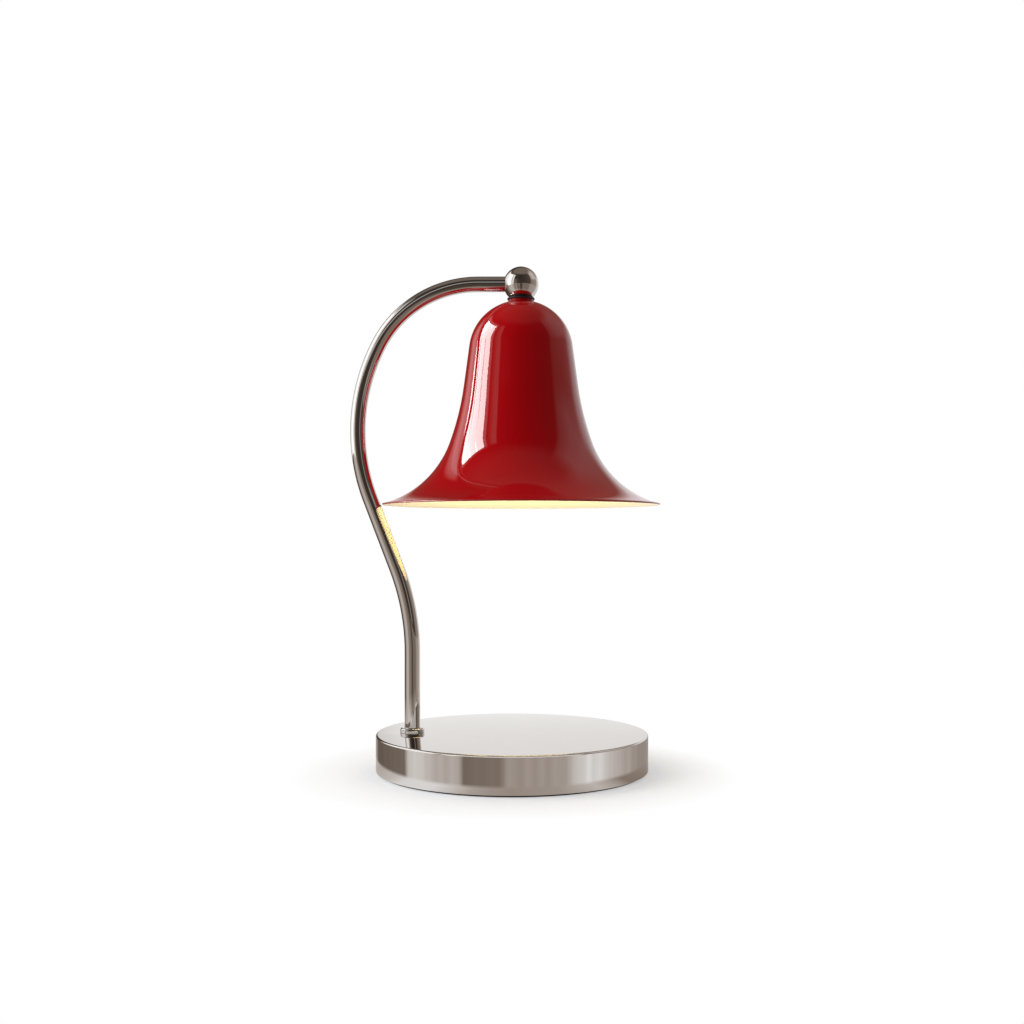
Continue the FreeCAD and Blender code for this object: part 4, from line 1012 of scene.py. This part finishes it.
def glow_of(tree, strength, color=None):
    """An even glow of a strength, white or of a colour."""
    glow = tree.nodes.new("ShaderNodeEmission")
    tree.links.new(strength, glow.inputs["Strength"])
    if color is not None:
        tree.links.new(color, glow.inputs["Color"])
    return glow.outputs["Emission"]


def stage_piece(name, mesh):
    """A studio piece from a mesh."""
    piece = bpy.data.objects.new(name, mesh)
    scene.collection.objects.link(piece)
    return piece


def make_floor():
    """A white floor that keeps the lamp's shadow close by and is plain white far off."""
    mesh = bpy.data.meshes.new("floor")
    reach = 6.0
    mesh.from_pydata([(-reach, -reach, 0), (reach, -reach, 0), (reach, reach, 0),
                      (-reach, reach, 0)], [], [(0, 1, 2, 3)])
    tree = shader_tree(mesh, "white_floor")
    path = tree.nodes.new("ShaderNodeLightPath")
    seen = seen_directly(tree, path)
    base = tree.nodes.new("ShaderNodeBsdfDiffuse")
    base.inputs["Color"].default_value = FLOOR_COLOR
    near = tree.nodes.new("ShaderNodeAddShader")
    tree.links.new(base.outputs["BSDF"], near.inputs[0])
    tree.links.new(glow_of(tree, sum_of(tree, "MULTIPLY", seen, FLOOR_LIFT)), near.inputs[1])
    far = glow_of(tree, blend(tree, seen, PLAIN_FLOOR, 1.0))
    place = part_of(tree, "ShaderNodeTexCoord", "Object")
    share = share_round(tree, place)[0]
    away = tree.nodes.new("ShaderNodeVectorMath")
    away.operation = "LENGTH"
    tree.links.new(place, away.inputs[0])
    level = blend(tree, mapped(tree, away.outputs["Value"], *FLOOR_CHANGE),
                  ramp_of(tree, share, NEAR_FLOOR), ramp_of(tree, share, FAR_FLOOR))
    mirror = glow_of(tree, level, warm_darks(tree, level))
    shown = mixed(tree, mapped(tree, away.outputs["Value"], *SHADOW_REACH),
                  near.outputs["Shader"], far)
    surface_of(tree, mixed(tree, path.outputs["Is Glossy Ray"], shown, mirror))
    stage_piece("floor", mesh)


def around_point(turn, distance, height):
    """A place round the lamp at a turn, a distance from the middle and a height."""
    angle = math.radians(turn)
    return Vector((-distance * math.sin(angle), -distance * math.cos(angle), height))


def make_low_card():
    """A low band round the base that only mirror rays see: the base's side shows it as the
    soft dark and light panes of a room."""
    bm = bmesh.new()
    sides = 96
    rows = []
    for number in range(sides):
        turn = 360 * number / sides
        rows.append([bm.verts.new(around_point(turn, CARD_DISTANCE, height))
                     for height in (0.0, CARD_HEIGHT)])
    for left, right in zip(rows, rows[1:] + rows[:1]):
        bm.faces.new((left[0], right[0], right[1], left[1]))
    mesh = bpy.data.meshes.new("low_card")
    bm.to_mesh(mesh)
    bm.free()
    tree = shader_tree(mesh, "low_card")
    share, height = share_round(tree, part_of(tree, "ShaderNodeTexCoord", "Object"))
    along = tree.nodes.new("ShaderNodeCombineXYZ")
    tree.links.new(share, along.inputs["X"])
    streaks = noise(tree, along.outputs["Vector"], 60.0, 2.0).outputs["Fac"]
    level = sum_of(tree, "MULTIPLY", ramp_of(tree, share, CARD),
                   mapped(tree, streaks, 0.3, 0.7, 0.90, 1.10))
    clear = part_of(tree, "ShaderNodeBsdfTransparent", "BSDF")
    surface_of(tree, mixed(tree, mapped(tree, height, 0.0, CARD_FOOT), clear,
                           glow_of(tree, level, warm_darks(tree, level))))
    card = stage_piece("low_card", mesh)
    card.visible_camera = False
    card.visible_diffuse = False
    card.visible_shadow = False
    card.visible_transmission = False


def make_softbox(name, place, shape, level):
    """A rectangular lamp that faces the middle of the object, by its brightness."""
    width, tall = shape
    light = bpy.data.lights.new(name, "AREA")
    light.shape = "RECTANGLE"
    light.size = width
    light.size_y = tall
    light.energy = level * math.pi * width * tall
    piece = bpy.data.objects.new(name, light)
    piece.location = around_point(*place)
    aim = Vector((0, 0, AIM_HEIGHT)) - piece.location
    piece.rotation_euler = aim.to_track_quat("-Z", "Y").to_euler()
    piece.visible_camera = False
    piece.visible_glossy = False
    scene.collection.objects.link(piece)
    return piece


def only_for(piece, *receivers):
    """Let a lamp light these pieces alone."""
    group = bpy.data.collections.new(piece.name + "_for")
    for receiver in receivers:
        group.objects.link(receiver)
    piece.light_linking.receiver_collection = group


def make_glint(name, place, shape, level, *receivers):
    """A lamp that only the mirror finish of some pieces shows."""
    glint = make_softbox(name, place, shape, level)
    glint.visible_glossy = True
    glint.visible_diffuse = False
    only_for(glint, *receivers)


def make_studio(shade, shell, arm, ball):
    """Soft lamps, the window's panes on the lacquer and pale panels on the chrome."""
    make_world()
    make_floor()
    make_low_card()
    for softbox in SOFTBOXES:
        make_softbox(*softbox)
    for turn in PANES:
        make_glint("pane_%d" % turn, (turn, 1.0, 0.60), PANE_SIZE, PANE_LEVEL, shade)
    make_glint("front", (0, 1.0, 0.62), (3.4, 1.2), 0.75, shell)
    make_glint("strip", (0, 1.0, 0.66), (2.0, 0.22), 0.4, arm)
    make_glint("streak", (-29, 1.0, 0.55), (0.2, 1.0), 0.25, arm)
    make_glint("side", (75, 1.0, 0.65), (0.9, 1.2), 0.45, arm, ball)


def make_camera():
    """The photograph's view: level, with the horizon set by a shift of the frame."""
    camera = bpy.data.cameras.new("camera")
    camera.sensor_width = 36.0
    camera.lens = PHOTO_FOCAL / PHOTO_SIZE * camera.sensor_width
    camera.shift_y = (PHOTO_HORIZON - PHOTO_SIZE / 2) / PHOTO_SIZE
    piece = bpy.data.objects.new("camera", camera)
    piece.location = (0, -CAMERA_DISTANCE, CAMERA_HEIGHT)
    piece.rotation_euler = (math.pi / 2, 0, 0)
    scene.collection.objects.link(piece)
    scene.camera = piece


def make_bulb_lamp(name, kind, height, power):
    """A small lamp on the bulb's line that mirrors and the camera don't see."""
    light = bpy.data.lights.new(name, kind)
    light.energy = power
    light.shadow_soft_size = 4.0 * MM
    light.color = BULB_COLOR
    piece = bpy.data.objects.new(name, light)
    piece.location = (shade_x, 5.0 * MM, height)
    piece.visible_camera = False
    piece.visible_glossy = False
    scene.collection.objects.link(piece)
    return piece


def make_bulb_light(shade):
    """A spot lamp stands in for the bulb's beam, and a small lamp for its glow inside."""
    beam = make_bulb_lamp("bulb_beam", "SPOT", bulb_face - 1.0 * MM, BEAM_POWER)
    beam.data.spot_size = BEAM_ANGLE
    beam.data.spot_blend = 0.5
    glow = make_bulb_lamp("bulb_glow", "POINT", GLOW_HEIGHT, GLOW_POWER)
    only_for(glow, shade)


make_camera()
BAR = tube_tree()
ROUND = ring_tree()
shell = make_base_shell()
make_foot_ring()
arm = make_arm(BAR)
ball = make_ball()
make_ring("neck_disc", "neck_washer", "nylon", "black_nylon", 0.25 * MM)
make_ring("neck_band", "neck_collar", "red", "red_paint", 0.15 * MM)
bell = make_shade()
make_bulb_cap()
make_bulb_glass()
make_bulb_lens()
make_bulb_light(bell)
make_studio(bell, shell, arm, ball)
make_gland()
make_knob(ROUND)
finish_kept_nodes()
scene.view_settings.view_transform = "Standard"
